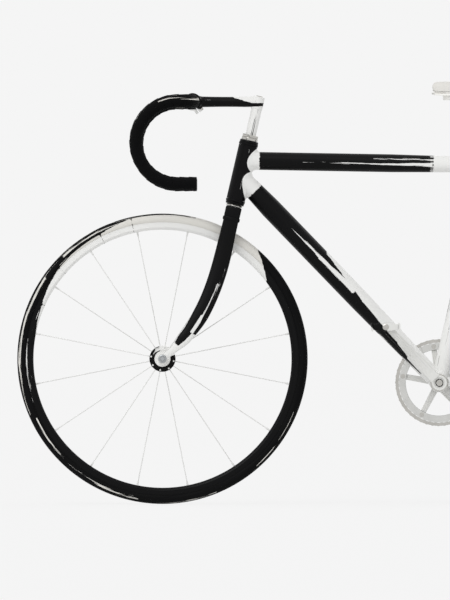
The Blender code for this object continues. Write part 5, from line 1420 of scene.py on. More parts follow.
def make_tyres_and_rims():
    """Make both tyres and both rims."""
    profile = []
    for step in range(TYRE_POINTS):
        turn = 2 * math.pi * step / TYRE_POINTS
        off_crown = abs(math.degrees(math.atan2(math.sin(turn), math.cos(turn))))
        inset = 0.0 if off_crown <= TREAD_HALF_ANGLE else TREAD_STEP
        profile.append(((TYRE_HALF_WIDTH - inset) * math.sin(turn),
                        TYRE_CENTRE + (TYRE_HALF_HEIGHT - inset) * math.cos(turn)))
    bed = []
    for step in range(9):
        across = RIM_HALF_WIDTH * 0.93 * (step / 4 - 1)
        bed.append((across, TYRE_CENTRE - math.sqrt((TYRE_HALF_HEIGHT + 0.0002) ** 2 - across ** 2)))
    wall = RIM_HALF_WIDTH
    outside = [
        (wall - 0.0002, RIM_TOP + 0.0006), (wall, RIM_TOP), (wall, RIM_TOP - 0.0010),
        (wall - 0.00035, RIM_TOP - 0.0013), (wall - 0.00035, RIM_SHOULDER + 0.0004), (wall, RIM_SHOULDER),
        (wall * 0.86, RIM_INNER + 0.0032), (RIM_BED_HALF * 1.15, RIM_INNER + 0.0005),
        (RIM_BED_HALF * 0.8, RIM_INNER)]
    rim = bed + outside + mirrored(outside)
    for end, centre in WHEELS:
        place_on = round_axle(centre, STROKE_MIDDLE, STROKE_START)
        base = (*sweep(200, 330), 0.28, 0.55)
        rubber = inked(f"inked_tubular_rubber_{end}", place_on, STROKE_HALF, base, WHEEL_PATCHES, 0.72,
                       dry=RUBBER_WHITE)
        file_tread(rubber, place_on)
        rim_coat = inked(f"inked_rim_lacquer_{end}", place_on, STROKE_HALF, base, WHEEL_PATCHES)
        set_piece(f"{end}_tubular_tyre", turned(centre, ACROSS, profile, WHEEL_ROUND), rubber, f"{end}_wheel",
                  [f"{end}_tyre"])
        set_piece(f"{end}_box_rim", turned(centre, ACROSS, rim, WHEEL_ROUND), rim_coat, f"{end}_wheel",
                  [f"{end}_rim"])


make_tyres_and_rims()

# Hubs
# High-flange hubs turned from bar, lacquered white, with an ink ring brushed round each flange. The
# spokes are hooked through the flanges.
FLANGE_RADIUS = 0.0277
FLANGE_THICKNESS = 0.003
BARREL_RADIUS = 0.012
HUB_BORE = 0.006
SPOKE_HOLE_CIRCLE = 0.0245
HUB_ROUND = 96
# Ends of the hub: flange spacing, locknut width, end radius
HUB_SIZES = {"front": (0.072, FRONT_LOCKNUTS, 0.010), "rear": (0.066, REAR_LOCKNUTS, 0.016)}
HUB_STROKE_MIDDLE = 0.0223
HUB_STROKE_HALF = 0.0054
HUB_STROKE_START = math.radians(18)


def make_hubs():
    """Make both hub shells."""
    for end, centre in WHEELS:
        coat = inked(
            f"inked_hub_lacquer_{end}", round_axle(centre, HUB_STROKE_MIDDLE, HUB_STROKE_START),
            HUB_STROKE_HALF,
            (*sweep(120, 265, HUB_STROKE_MIDDLE), 0.22, 0.62), (
                (sweep(-5, 370, HUB_STROKE_MIDDLE), (-9, -9), (-1.0, -1.0), 1.2),
                (sweep(268, 370, HUB_STROKE_MIDDLE), (-9, -9), (9, 9), 0.90)))
        spacing, locknuts, radius = HUB_SIZES[end]
        near = spacing / 2
        far = near + FLANGE_THICKNESS
        tip = locknuts / 2 - CONE_LENGTH - AXLE_GAP
        half = [
            (near - 0.011, BARREL_RADIUS), (near - 0.005, BARREL_RADIUS + 0.0012),
            (near - 0.0015, BARREL_RADIUS + 0.004),
            (near, BARREL_RADIUS + 0.009), (near, FLANGE_RADIUS - 0.0006), (near + 0.0006, FLANGE_RADIUS),
            (far - 0.0006, FLANGE_RADIUS), (far, FLANGE_RADIUS - 0.0006), (far, 0.0186),
            (far - 0.0011, 0.0176),
            (far - 0.0011, radius + 0.0012), (far, radius), (tip - 0.0008, radius), (tip, radius - 0.0008),
            (tip, 0.0074), (tip - 0.0006, 0.0072), (tip - 0.0006, HUB_BORE)]
        shell = turned(centre, ACROSS, half + mirrored(half), HUB_ROUND)
        set_piece(f"{end}_hub_lacquered_shell", shell, coat, f"{end}_wheel", [f"{end}_hub_shell"])


make_hubs()

# Spokes and nipples
# Plain-gauge stainless spokes, laced radially with their heads outside the flange, and brass nipples that
# draw them tight at the rim. Both are lacquered white, so that they almost vanish against the ink.
SPOKE_RADIUS = 0.001
SPOKE_ROUND = 8
NIPPLE_RADIUS = 0.002
NIPPLE_LENGTH = 0.010
NIPPLE_OFFSET = 0.002
SPOKE_HEAD_RADIUS = 0.0019
# Distance along the spoke's head, and along the nipple from the rim, and the radius there
SPOKE_HEAD = ((0, SPOKE_HEAD_RADIUS), (0.0005, SPOKE_HEAD_RADIUS), (0.0011, SPOKE_HEAD_RADIUS * 0.6))
NIPPLE = (
    (0, NIPPLE_RADIUS * 1.35), (0.0012, NIPPLE_RADIUS * 1.25), (0.0016, NIPPLE_RADIUS),
    (NIPPLE_LENGTH * 0.55, NIPPLE_RADIUS * 0.86), (NIPPLE_LENGTH * 0.92, NIPPLE_RADIUS * 0.86),
    (NIPPLE_LENGTH, NIPPLE_RADIUS * 0.62))
SPOKES_A_SIDE = {"front": 8, "rear": 10}
SPOKE_SHIFT = {"left": 0.25, "right": 0.75}
VALVE_SWEEP = math.radians(346)
VALVE_LENGTH = 0.030
# Distance along the valve and its radius there: its nut, its stem, its core and its tip
VALVE_SECTION = (
    (0, 0.0038), (0.0022, 0.0038), (0.0026, 0.003), (VALVE_LENGTH * 0.62, 0.003),
    (VALVE_LENGTH * 0.64, 0.0022), (VALVE_LENGTH * 0.78, 0.0022), (VALVE_LENGTH * 0.80, 0.0016),
    (VALVE_LENGTH, 0.0012))
SPOKE_WHITE = "#ECECEA"


def growth(name, *inputs):
    """Return a geometry tree and its input node, with inputs for a piece, those given and a finish."""
    tree = bpy.data.node_groups.new(name, "GeometryNodeTree")
    for label, kind in (("Geometry", "Geometry"), *inputs, ("Finish", "Material")):
        tree.interface.new_socket(label, in_out="INPUT", socket_type=f"NodeSocket{kind}")
    tree.interface.new_socket("Geometry", in_out="OUTPUT", socket_type="NodeSocketGeometry")
    return tree, add(tree, "NodeGroupInput")


def ended(tree, given, copies):
    """Return a geometry tree whose copies are made real and given the finish."""
    whole = add(tree, "GeometryNodeRealizeInstances", {0: copies})
    finish = add(tree, "GeometryNodeSetMaterial", {"Geometry": whole, "Material": given.outputs["Finish"]})
    add(tree, "NodeGroupOutput", {0: finish})
    return tree


def copies_about_axle():
    """Return a node tree that sets copies of a piece evenly round an axle."""
    tree, given = growth("copies_about_axle", ("Axle", "Vector"), ("Count", "Int"), ("First turn", "Float"))
    line = add(tree, "GeometryNodeMeshLine", {
        "Count": given.outputs["Count"], "Start Location": given.outputs["Axle"], "Offset": (0, 0, 0)})
    index = add(tree, "GeometryNodeInputIndex")
    share = maths(tree, "DIVIDE", index, given.outputs["Count"])
    turn = maths(tree, "MULTIPLY_ADD", share, 2 * math.pi, given.outputs["First turn"])
    axes = add(tree, "ShaderNodeCombineXYZ", {1: turn})
    rotation = add(tree, "FunctionNodeEulerToRotation", {0: axes})
    return ended(tree, given, add(tree, "GeometryNodeInstanceOnPoints", {
        "Points": line, "Instance": given.outputs["Geometry"], "Rotation": rotation}))


def grown(bm, tree, **sizes):
    """Return the plain mesh that a node tree makes from a piece, with the tree's inputs set by name."""
    mesh = as_mesh(bm, "grown")
    holder = placed("grown", mesh)
    step = holder.modifiers.new("growth", "NODES")
    step.node_group = tree
    for item in tree.interface.items_tree:
        if item.in_out == "INPUT" and item.name.replace(" ", "_").lower() in sizes:
            step[item.identifier] = sizes[item.name.replace(" ", "_").lower()]
    result = settled(holder)
    bpy.data.objects.remove(holder)
    bpy.data.meshes.remove(mesh)
    return result


COPIES_ABOUT_AXLE = copies_about_axle()


def one_spoke(side, spacing):
    """Return one spoke with its head, elbow and nipple, pointing ahead from an axle at the origin."""
    face = side * (spacing / 2 + FLANGE_THICKNESS)
    inner = side * (spacing / 2 - SPOKE_RADIUS - 0.0001)
    rim_end = Vector((RIM_INNER + 0.0006, side * NIPPLE_OFFSET, 0))
    hole = SPOKE_HOLE_CIRCLE
    path = [Vector((hole, face + side * 0.0010, 0)), Vector((hole, face - side * 0.0004, 0)),
            Vector((hole, inner + side * 0.0016, 0)), Vector((hole + 0.0005, inner + side * 0.0004, 0)),
            Vector((hole + 0.0018, inner, 0)), rim_end]
    strand = swept(path, [SPOKE_RADIUS] * len(path), SPOKE_ROUND)
    out = ACROSS * side
    head = rod(Vector((hole, face, 0)), out, SPOKE_HEAD, SPOKE_ROUND + 2)
    way = (path[-2] - rim_end).normalized()
    nipple = rod(rim_end, way, NIPPLE, SPOKE_ROUND)
    return merged(strand, head, nipple)


# The lacquer's orange peel in millimetres, about its real size, its wider cloud, and the share of its
# colour that it keeps there
PEEL_MM = 10 / 7
LACQUER_CLOUD_MM = 25
LACQUER_DARKER = 0.93


def lacquer(name, colour, roughness=0.35):
    """Return a thin sprayed lacquer with a slight orange-peel surface."""
    material, tree, shader = new_material(name)
    place = own_place(tree)
    peel = noise(tree, place, PEEL_MM, 2.0)
    cloud = noise(tree, place, LACQUER_CLOUD_MM, 2.0)
    wire(tree, shader, {
        "Base Color": clouded(tree, cloud, colour, LACQUER_DARKER), "Specular IOR Level": 0.3,
        "Roughness": ramp(tree, cloud, 0.3, 0.7, roughness - 0.06, roughness + 0.1),
        "Normal": relief(tree, peel, 0.08, FINE_RELIEF)})
    return material


def make_spokes():
    """Lace both wheels, and fit each tyre's valve."""
    white = lacquer("white_lacquered_steel", SPOKE_WHITE)
    for end, centre in WHEELS:
        count = SPOKES_A_SIDE[end]
        for name, side in SIDES:
            # A turn about +Y lowers what points ahead, so the spokes' angles are counted backwards
            laced = grown(one_spoke(side, HUB_SIZES[end][0]), COPIES_ABOUT_AXLE, axle=centre, count=count,
                          first_turn=-2 * math.pi * SPOKE_SHIFT[name] / count, finish=white)
            set_piece(f"{end}_laced_spokes_{name}", laced, white, f"{end}_wheel",
                      [f"{end}_spokes_{name}"])
        turn = STROKE_START - VALVE_SWEEP
        inward = AHEAD * math.cos(turn) - UPWARD * math.sin(turn)
        root = centre - inward * (RIM_INNER + 0.001)
        valve = softened(rod(root, inward, VALVE_SECTION, 20), 0.0002)
        set_piece(f"{end}_tyre_valve", valve, NICKEL_PLATE, f"{end}_wheel")


make_spokes()

# Track ends and seat collar
# The track ends are cut from steel plate, slotted to the rear, brazed into the stays and painted with them.
# The seat collar is a polished aluminium ring, split at the back and closed by a pinch bolt.
STAY_RISE = STAY_LINE.cross(ACROSS)
TRACK_END_THICKNESS = 0.005
TRACK_END_INNER = DROPOUT_MIDDLE - TRACK_END_THICKNESS / 2
TRACK_END_HALF_HEIGHT = 0.016
HALF_SLOT = 0.0053
TAB_HALF = 0.0062
# The outline's corners beside the slot, in metres along the chain stay and above it, and their rounding
LOWER_CORNERS = (((0.0400, -0.0062), 0.0), ((0.0175, -0.0125), 0.012),
                 ((0.0010, -0.0190), 0.010), ((-0.0220, -0.0130), 0.005), ((-0.0220, -HALF_SLOT), 0.0012))
UPPER_CORNERS = (((-0.0220, HALF_SLOT), 0.0012), ((-0.0220, 0.0130), 0.006))
WEB_CORNER = ((0.0235, 0.0125), 0.010)
COLLAR_HEIGHT = 0.014
COLLAR_BORE = 0.01775
COLLAR_OUTER = 0.02125
COLLAR_EAR = (0.0085, 0.0052, 0.0125)


def rounded(corners, steps=6):
    """Return a closed outline from its corners, each with the length of edge that its curve takes."""
    outline = []
    for index, (corner, reach) in enumerate(corners):
        corner = Vector(corner)
        before = Vector(corners[index - 1][0]) - corner
        after = Vector(corners[(index + 1) % len(corners)][0]) - corner
        if not reach:
            outline.append(tuple(corner))
            continue
        start = corner + before.normalized() * min(reach, before.length * 0.48)
        end = corner + after.normalized() * min(reach, after.length * 0.48)
        outline += [tuple(curved(start, corner, end, step / steps)) for step in range(steps + 1)]
    return outline


def make_fittings():
    """Make both track ends and the seat collar."""
    along = SEAT_STAY_LINE.dot(STAY_LINE)
    above = SEAT_STAY_LINE.dot(STAY_RISE)
    tab = [((DROPOUT_REACH * along + side * TAB_HALF * above,
             DROPOUT_REACH * above - side * TAB_HALF * along), 0.0) for side in (-1, 1)]
    slot = [((HALF_SLOT * math.cos(turn), HALF_SLOT * math.sin(turn)), 0.0)
            for turn in (math.radians(-90 + 15 * step) for step in range(13))]
    stay_end = ((DROPOUT_REACH, TAB_HALF), 0.0)
    outline = rounded([*slot, *UPPER_CORNERS, *tab, WEB_CORNER, stay_end, *LOWER_CORNERS])
    coat = inked("brushed_enamel_track_ends", on_tube(REAR_AXLE + STAY_LINE * DROPOUT_REACH, REAR_AXLE),
                 TRACK_END_HALF_HEIGHT, (0.0, 0.06, 0.92, 0.70))
    for name, side in SIDES:
        plate = slab(REAR_AXLE, STAY_LINE, STAY_RISE, outline,
                     (TRACK_END_INNER, TRACK_END_INNER + TRACK_END_THICKNESS), ACROSS * side)
        set_piece(f"track_end_{name}", softened(plate, 0.0006, 2, 50), coat, "frame_body",
                  [f"dropout_{name}"])
    behind = SEAT_UP.cross(ACROSS)
    collar, pinch = split_clamp(SEAT_TOP - SEAT_UP * COLLAR_HEIGHT / 2, SEAT_UP, behind, COLLAR_BORE,
                                COLLAR_OUTER, COLLAR_HEIGHT, COLLAR_EAR)
    set_piece("seat_collar_split", collar, POLISHED_ALLOY, "frame_body", ["seat_collar"])
    set_piece("seat_collar_bolt", pinch, NICKEL_PLATE, "frame_body")


make_fittings()

# Bottom bracket and crank axle
# Threaded steel cups in the shell, ground where the balls run, and a forged axle through them with a bolt
# in each end.
CUP_FLANGE_RADIUS = 0.0185
CUP_LIP = 0.003
CUP_THREAD_RADIUS = 0.0167
CUP_DEPTH = 0.017
AXLE_BORE = 0.0083
# Distance out from the shell's face and radius there
CUP_SECTION = (
    (-CUP_DEPTH, CUP_THREAD_RADIUS), (0.0003, CUP_THREAD_RADIUS), (0.0003, CUP_FLANGE_RADIUS),
    (CUP_LIP * 0.62, CUP_FLANGE_RADIUS), (CUP_LIP * 0.62, 0.0150), (CUP_LIP, 0.0146),
    (CUP_LIP, AXLE_BORE), (-CUP_DEPTH, AXLE_BORE))
CRANK_INNER = 0.062
CRANK_THICKNESS = 0.013
AXLE_SUNK = 0.0039


def make_bottom_bracket():
    """Make both cups, and finish the axle."""
    for name, side in SIDES:
        face = BRACKET + ACROSS * side * HALF_SHELL
        cup = turned(face, ACROSS * side, CUP_SECTION)
        set_piece(f"bracket_cup_{name}", softened(cup, 0.0003), NICKEL_PLATE, "frame_body",
                  [f"bottom_bracket_cup_{name}"])
        end = BRACKET + ACROSS * side * (CRANK_INNER + CRANK_THICKNESS - AXLE_SUNK)
        bolt = socket_bolt(end, ACROSS * side, *CRANK_HEAD)
        set_piece(f"crank_bolt_{name}", bolt, NICKEL_PLATE, "crankset")
    repaint("crank_spindle", BLACK_OXIDE)


make_bottom_bracket()

# Chainring and cog
# Both are cut from plate, with rounded roller seats and thinned tooth tips. The ring is polished aluminium
# and is held by five bolts; the cog is nickel-plated steel, screwed on the hub behind a lockring.
CHAIN_PITCH = 0.0127
RING_TEETH = 44
COG_TEETH = 16
CHAIN_LINE = 0.042
PLATE_HALF = 0.0014
TOOTH_ROOT = 0.0047
TOOTH_TIP = 0.0036
RING_RIM = 0.014
RING_BOLTS = 5
COG_BORE = 0.0163
LOCKRING_RADIUS = 0.0192
LOCKRING_WIDTH = 0.0034
# Distance from a tooth's middle in millimetres, share of the tooth's height, share of the plate's thickness
TOOTH_SHAPE = (
    (-6.0, 0.0, 1.0), (-3.4, 0.05, 1.0), (-2.5, 0.22, 1.0), (-1.9, 0.55, 0.85), (-1.35, 0.86, 0.55),
    (-0.7, 1.0, 0.38), (0.7, 1.0, 0.38), (1.35, 0.86, 0.55), (1.9, 0.55, 0.85), (2.5, 0.22, 1.0),
    (3.4, 0.05, 1.0))
RING_RADIUS = CHAIN_PITCH / (2 * math.sin(math.pi / RING_TEETH))
COG_RADIUS = CHAIN_PITCH / (2 * math.sin(math.pi / COG_TEETH))
RING_ROOT = RING_RADIUS - TOOTH_ROOT
BOLT_CIRCLE = RING_ROOT - RING_RIM / 2
SPIDER_FACE = CHAIN_LINE + PLATE_HALF + 0.0003
SPIDER_THICKNESS = 0.0045
CRANK_ANGLE = math.radians(46)
CRANK_OUT = Vector((math.cos(CRANK_ANGLE), 0, math.sin(CRANK_ANGLE)))
CRANK_UP = Vector((-math.sin(CRANK_ANGLE), 0, math.cos(CRANK_ANGLE)))


def toothed_wheel(centre, radius, teeth, bore, first_roller):
    """Return a toothed plate with its bore, a roller seat lying at the given angle beside the frame."""
    root = radius - TOOTH_ROOT
    height = TOOTH_ROOT + TOOTH_TIP
    rings = []
    for tooth in range(teeth):
        middle = first_roller + 2 * math.pi * (tooth + 0.5) / teeth
        for aside, share, thick in TOOTH_SHAPE:
            turn = middle + aside / 1000 / radius
            out = STAY_LINE * math.cos(turn) + STAY_RISE * math.sin(turn)
            around = root + height * share
            half = PLATE_HALF * thick
            section = [
                (-PLATE_HALF, bore + 0.0003), (-PLATE_HALF + 0.0003, bore), (PLATE_HALF - 0.0003, bore),
                (PLATE_HALF, bore + 0.0003), (PLATE_HALF, root - 0.0012), (half, around),
                (-half, around), (-PLATE_HALF, root - 0.0012)]
            rings.append([centre - ACROSS * CHAIN_LINE + ACROSS * level + out * away
                          for level, away in section])
    return skin(rings, loop=True)


def make_sprockets():
    """Make the chainring with its bolts, the cog and its lockring."""
    ring = toothed_wheel(BRACKET, RING_RADIUS, RING_TEETH, RING_ROOT - RING_RIM, 0)
    set_piece("chainring_toothed", ring, POLISHED_ALLOY, "crankset", ["chainring"], crisp=18)
    cog = toothed_wheel(REAR_AXLE, COG_RADIUS, COG_TEETH, COG_BORE, math.pi)
    set_piece("fixed_cog_toothed", cog, NICKEL_PLATE, "rear_wheel", ["fixed_cog"], crisp=18)
    seat = REAR_AXLE - ACROSS * (CHAIN_LINE + PLATE_HALF + 0.0002)
    lockring = turned(seat, -ACROSS, [(0, COG_BORE), (0, LOCKRING_RADIUS), (LOCKRING_WIDTH, LOCKRING_RADIUS),
                                      (LOCKRING_WIDTH, COG_BORE)])
    set_piece("cog_lockring", softened(lockring), NICKEL_PLATE, "rear_wheel")
    bolts = []
    for out in spokes_round(CRANK_OUT, CRANK_UP, RING_BOLTS):
        place = BRACKET + out * -BOLT_CIRCLE
        outer = place - ACROSS * (SPIDER_FACE + SPIDER_THICKNESS)
        inner = place - ACROSS * (CHAIN_LINE - PLATE_HALF)
        bolts += [socket_bolt(outer, -ACROSS, *RING_HEADS[0]), socket_bolt(inner, ACROSS, *RING_HEADS[1])]
    set_piece("chainring_bolts", merged(*bolts), NICKEL_PLATE, "crankset")


make_sprockets()

# Cranks and spider
# Cold-forged aluminium arms with a shallow flute down the outside, a round boss on the axle and an eye for
# the pedal. They are lacquered white, and the down tube's ink stroke was carried on along the arms' edge.
CRANK_LENGTH = 0.165
ARM_HALF_WIDTHS = (0.0122, 0.0096)
ARM_CORNER = 0.0036
ARM_STATIONS = 41
FLUTE_DEPTH = 0.0017
# Across the arm in shares of its half width, and how deep the flute is there
FLUTE_SHAPE = ((0.52, 0.0), (0.40, 0.8), (0.22, 1.0), (-0.22, 1.0), (-0.40, 0.8), (-0.52, 0.0))
BOSS_RADIUS = 0.016
BOSS_START = 0.0436
EYE_RADIUS = 0.0100
EYE_BORE = 0.0053
SPIDER_WIDTHS = (0.014, 0.0112)
SPIDER_BEYOND_BOLT = 0.0035
SPIDER_START = 0.008
SPIDER_CORNER = 0.003
ARM_WHITE = "#E6E6E3"


def arm_section(half, flute):
    """Return a crank arm's cross-section as (across the arm, through it) points, with its flute."""
    r = ARM_CORNER

    def corners(*places):
        return [(across + r * math.cos(turn), through + r * math.sin(turn))
                for across, through, first in places
                for turn in (math.radians(first + 22.5 * step) for step in range(5))]

    return [*corners((half - r, r, -90), (half - r, CRANK_THICKNESS - r, 0)),
            *((half * share, CRANK_THICKNESS - flute * depth) for share, depth in FLUTE_SHAPE),
            *corners((-half + r, CRANK_THICKNESS - r, 90), (-half + r, r, 180))]


def stroke_ran_over(name):
    """Return a white coat that the down tube's ink stroke ran across, as if they were brushed in one go."""
    base, patches = DOWN_STROKE
    edge = DOWN_TUBE_PROFILE[1][1] / DOWN_STROKE_HALF
    beside = (((-1.0, 1.0), (-99, -99), (-edge, -edge), 1.3), ((-1.0, 1.0), (edge, edge), (99, 99), 1.3))
    return inked(
        name, on_tube(DOWN_FRONT, BRACKET), DOWN_STROKE_HALF, base, (*patches, *beside), dry=ARM_WHITE)


def make_cranks():
    """Make both crank arms, and the spider on the right one."""
    for name, side in SIDES:
        out = CRANK_OUT * side
        up = CRANK_UP * side
        eye = BRACKET + out * CRANK_LENGTH
        coat = stroke_ran_over(f"inked_crank_lacquer_{name}") if side > 0 else inked(
            f"inked_crank_lacquer_{name}", on_tube(eye, BRACKET), ARM_HALF_WIDTHS[0], (0, 0.12, 0.16, 0.50), (
                ((-0.020, 0.115), (-0.30, -0.92), (3, 3), 0.80),
                ((0.108, 0.400), (-10, -10), (10, 10), 1.2)), dry=ARM_WHITE)
        rings = []
        for step in range(ARM_STATIONS):
            share = step / (ARM_STATIONS - 1)
            place = CRANK_LENGTH * share
            half = ARM_HALF_WIDTHS[0] + (ARM_HALF_WIDTHS[1] - ARM_HALF_WIDTHS[0]) * share
            flute = (FLUTE_DEPTH * min(1, max(0, (share - 0.13) / 0.10))
                     * min(1, max(0, (0.90 - share) / 0.10)))
            rings.append([BRACKET + out * place + up * across + ACROSS * side * (CRANK_INNER + through)
                          for across, through in arm_section(half, flute)])
        way = ACROSS * side
        start = SPIDER_FACE if side < 0 else BOSS_START
        outer = CRANK_INNER + CRANK_THICKNESS
        boss = turned(BRACKET, way, [
            (start, AXLE_BORE), (start, BOSS_RADIUS), (outer - 0.0013, BOSS_RADIUS), (outer - 0.0013, 0.0118),
            (outer - 0.0026, 0.0112), (outer - AXLE_SUNK - 0.0004, 0.0100),
            (outer - AXLE_SUNK - 0.0004, AXLE_BORE)])
        end = turned(eye, way, [
            (CRANK_INNER, EYE_BORE), (CRANK_INNER, EYE_RADIUS), (outer, EYE_RADIUS), (outer, EYE_BORE)])
        parts = [skin(rings[3:-2]), softened(boss, 0.0012, 3), softened(end, 0.0014, 3)]
        if side < 0:
            far = BOLT_CIRCLE + SPIDER_BEYOND_BOLT
            wide, narrow = (width / 2 for width in SPIDER_WIDTHS)
            near, cut = SPIDER_START, SPIDER_CORNER
            faces = (SPIDER_FACE, SPIDER_FACE + SPIDER_THICKNESS)
            shape = [(near, -wide), (far - cut, -narrow), (far, -narrow + cut), (far, narrow - cut),
                     (far - cut, narrow), (near, wide)]
            for reach, beside in zip(spokes_round(out, up, RING_BOLTS), spokes_round(up, -out, RING_BOLTS)):
                leg = slab(BRACKET, reach, beside, shape, faces, -ACROSS)
                parts.append(softened(leg, 0.0011, 3))
        set_piece(f"crank_forging_{name}", merged(*parts), coat, "crankset", [f"crank_arm_{name}"])


make_cranks()

# Pedals
# Track pedals: a cast body with a bearing barrel, and an outer cage whose edges are cut into teeth for the
# shoe. The cages are white, and the left one is inked where the down tube's stroke crosses it.
PEDAL_WIDTH = 0.078
PEDAL_HALF_LENGTH = 0.031
PEDAL_HALF_HEIGHT = 0.010
CAGE_WALL = 0.0052
BARREL_RADIUS_PEDAL = 0.0086
PEDAL_NEAR = CRANK_INNER + 0.0169
PEDAL_TOOTH_MM = 5.2
PEDAL_TOOTH_DEPTH = 0.0022
# The side plate's half height at its ends and along its middle, and half the middle's length
SIDE_PLATE = (0.0058, 0.0078, 0.012)
# Distance along the bearing barrel and its radius there
BARREL_WAIST = ((0.012, BARREL_RADIUS_PEDAL), (0.016, 0.0072), (0.060, 0.0072), (0.064, 0.0082),
                (0.0738, 0.0082), (0.0752, 0.0070))
DUST_CAP = ((0, 0.0066), (0.0016, 0.0066), (0.0022, 0.0058), (0.0024, 0.0030))
PEDAL_BORE = 0.0053


def make_pedals():
    """Make both pedals on their spindles."""
    for name, side in SIDES:
        eye = BRACKET + CRANK_OUT * side * CRANK_LENGTH
        centre = eye + ACROSS * side * (PEDAL_NEAR + PEDAL_WIDTH / 2)
        front = centre + AHEAD * PEDAL_HALF_LENGTH
        coat = stroke_ran_over(f"inked_pedal_{name}") if side > 0 else inked(
            f"inked_pedal_{name}", on_tube(front, centre), PEDAL_HALF_HEIGHT, (0.010, 0.026, 0.30, 0.78), (
                ((0.026, 0.2), (-3, -3), (3, 3), 1.1),), dry=ARM_WHITE)
        parts = []
        half_width = PEDAL_WIDTH / 2
        for end in (-1, 1):
            # The toothed bar at the front or back
            count = int(PEDAL_WIDTH * 1000 / PEDAL_TOOTH_MM)
            rings = []
            for step in range(count * 2 + 1):
                across = -half_width + PEDAL_WIDTH * step / (count * 2)
                high = PEDAL_HALF_HEIGHT - (PEDAL_TOOTH_DEPTH if step % 2 else 0.0)
                far = PEDAL_HALF_LENGTH
                near = PEDAL_HALF_LENGTH - CAGE_WALL
                shape = [(near, -high * 0.72), (near, high * 0.72), (near + 0.0012, high * 0.80),
                         (far - 0.0030, high), (far, high * 0.62), (far, -high * 0.62), (far - 0.0030, -high),
                         (near + 0.0012, -high * 0.80)]
                rings.append([centre + ACROSS * across + AHEAD * (a * end) + UPWARD * b for a, b in shape])
            parts.append(softened(skin(rings), 0.0004, 2))
            # The side plate at the inner or outer end
            low = PEDAL_HALF_LENGTH - CAGE_WALL * 0.6
            tip, tall, flat = SIDE_PLATE
            outline = [(-low, -tip), (-low, tip), (-flat, tall), (flat, tall), (low, tip), (low, -tip),
                       (flat, -tall), (-flat, -tall)]
            edge = end * half_width
            plate = slab(centre, AHEAD, UPWARD, outline, (edge, edge - end * CAGE_WALL * 0.8))
            parts.append(softened(plate, 0.0010, 3))
        barrel = turned(centre - ACROSS * side * (half_width - 0.0010), ACROSS * side, [
            (0, PEDAL_BORE), (0, BARREL_RADIUS_PEDAL), *BARREL_WAIST, (BARREL_WAIST[-1][0], PEDAL_BORE)], 40)
        parts.append(softened(barrel, 0.0004))
        set_piece(f"pedal_cage_{name}", merged(*parts), coat, f"{name}_pedal", [f"pedal_{name}"])
        cap = centre + ACROSS * side * (half_width + 0.0001)
        dust = rod(cap - ACROSS * side * 0.0012, ACROSS * side, DUST_CAP, 40)
        set_piece(f"pedal_dust_cap_{name}", dust, NICKEL_PLATE, f"{name}_pedal")
        repaint(f"pedal_spindle_{name}", ZINC_PLATE)


make_pedals()

# Chain
# A half-inch-pitch bushed roller chain, 90 links long: pairs of inner plates on bushes with rollers, joined
# by pairs of outer plates on riveted pins. It is nickel plated.
CHAIN_LINKS = 90
PLATE_ROUND = 0.0041
PLATE_WAIST = 0.0029
INNER_PLATE = (0.00180, 0.00255)
OUTER_PLATE = (0.00265, 0.00340)
PIN_REACH = 0.0038
PIN_RADIUS = 0.0018
ROLLER_RADIUS = 0.0038
LINK_ROUND = 12
CHAIN_STAY_LENGTH = (BRACKET - REAR_AXLE).length


def chain_place(distance):
    """Return a point on the chain's pitch line, and the direction that the chain runs in there."""
    lean = math.asin((RING_RADIUS - COG_RADIUS) / CHAIN_STAY_LENGTH)
    contact = math.pi / 2 + lean
    ring_half = RING_RADIUS * contact
    run = CHAIN_STAY_LENGTH * math.cos(lean)
    whole = CHAIN_LINKS * CHAIN_PITCH
    side = 1
    if distance > whole / 2:
        distance = whole - distance
        side = -1
    if distance <= ring_half:
        heading = distance / RING_RADIUS + math.pi / 2
        place = (RING_RADIUS * math.sin(heading), -RING_RADIUS * math.cos(heading))
    elif distance <= ring_half + run:
        heading = contact + math.pi / 2
        gone = distance - ring_half
        place = (RING_RADIUS * math.cos(contact) + gone * math.cos(heading),
                 RING_RADIUS * math.sin(contact) + gone * math.sin(heading))
    else:
        turn = contact + (distance - ring_half - run) / COG_RADIUS
        heading = turn + math.pi / 2
        place = (COG_RADIUS * math.cos(turn) - CHAIN_STAY_LENGTH, COG_RADIUS * math.sin(turn))
    return BRACKET - ACROSS * CHAIN_LINE + STAY_LINE * place[0] + STAY_RISE * place[1] * side


def link(plates, with_rollers):
    """Return one link along X about the origin: two plates, and its rollers or its pins."""
    half = CHAIN_PITCH / 2
    outline = []
    for end in (1, -1):
        for step in range(LINK_ROUND // 2 + 1):
            turn = math.radians(-70 + 140 * step / (LINK_ROUND // 2))
            outline.append((end * (half + PLATE_ROUND * math.cos(turn)), end * PLATE_ROUND * math.sin(turn)))
        outline.append((0.0, end * PLATE_WAIST))
    parts = []
    for side in (-1, 1):
        parts.append(skin([[Vector((a, side * level, b)) for a, b in outline] for level in plates]))
    for end in (-1, 1):
        reach, radius = (INNER_PLATE[0] - 0.0001, ROLLER_RADIUS) if with_rollers else (PIN_REACH, PIN_RADIUS)
        parts.append(rod(Vector((end * half, 0, 0)), ACROSS, [(-reach, radius), (reach, radius)], LINK_ROUND))
    return merged(*parts)


def copies_on_marks():
    """Return a node tree that sets a copy of a piece on each marked point, turned as the mark says."""
    tree, given = growth("copies_on_marks", ("Piece", "Object"))
    facing = add(tree, "GeometryNodeInputNamedAttribute", {"Name": "facing"}, data_type="FLOAT_VECTOR")
    rotation = add(tree, "FunctionNodeEulerToRotation", {0: facing})
    shape = add(tree, "GeometryNodeObjectInfo", {"Object": given.outputs["Piece"]})
    return ended(tree, given, add(tree, "GeometryNodeInstanceOnPoints", {
        "Points": given.outputs["Geometry"], "Instance": shape.outputs["Geometry"], "Rotation": rotation}))


COPIES_ON_MARKS = copies_on_marks()


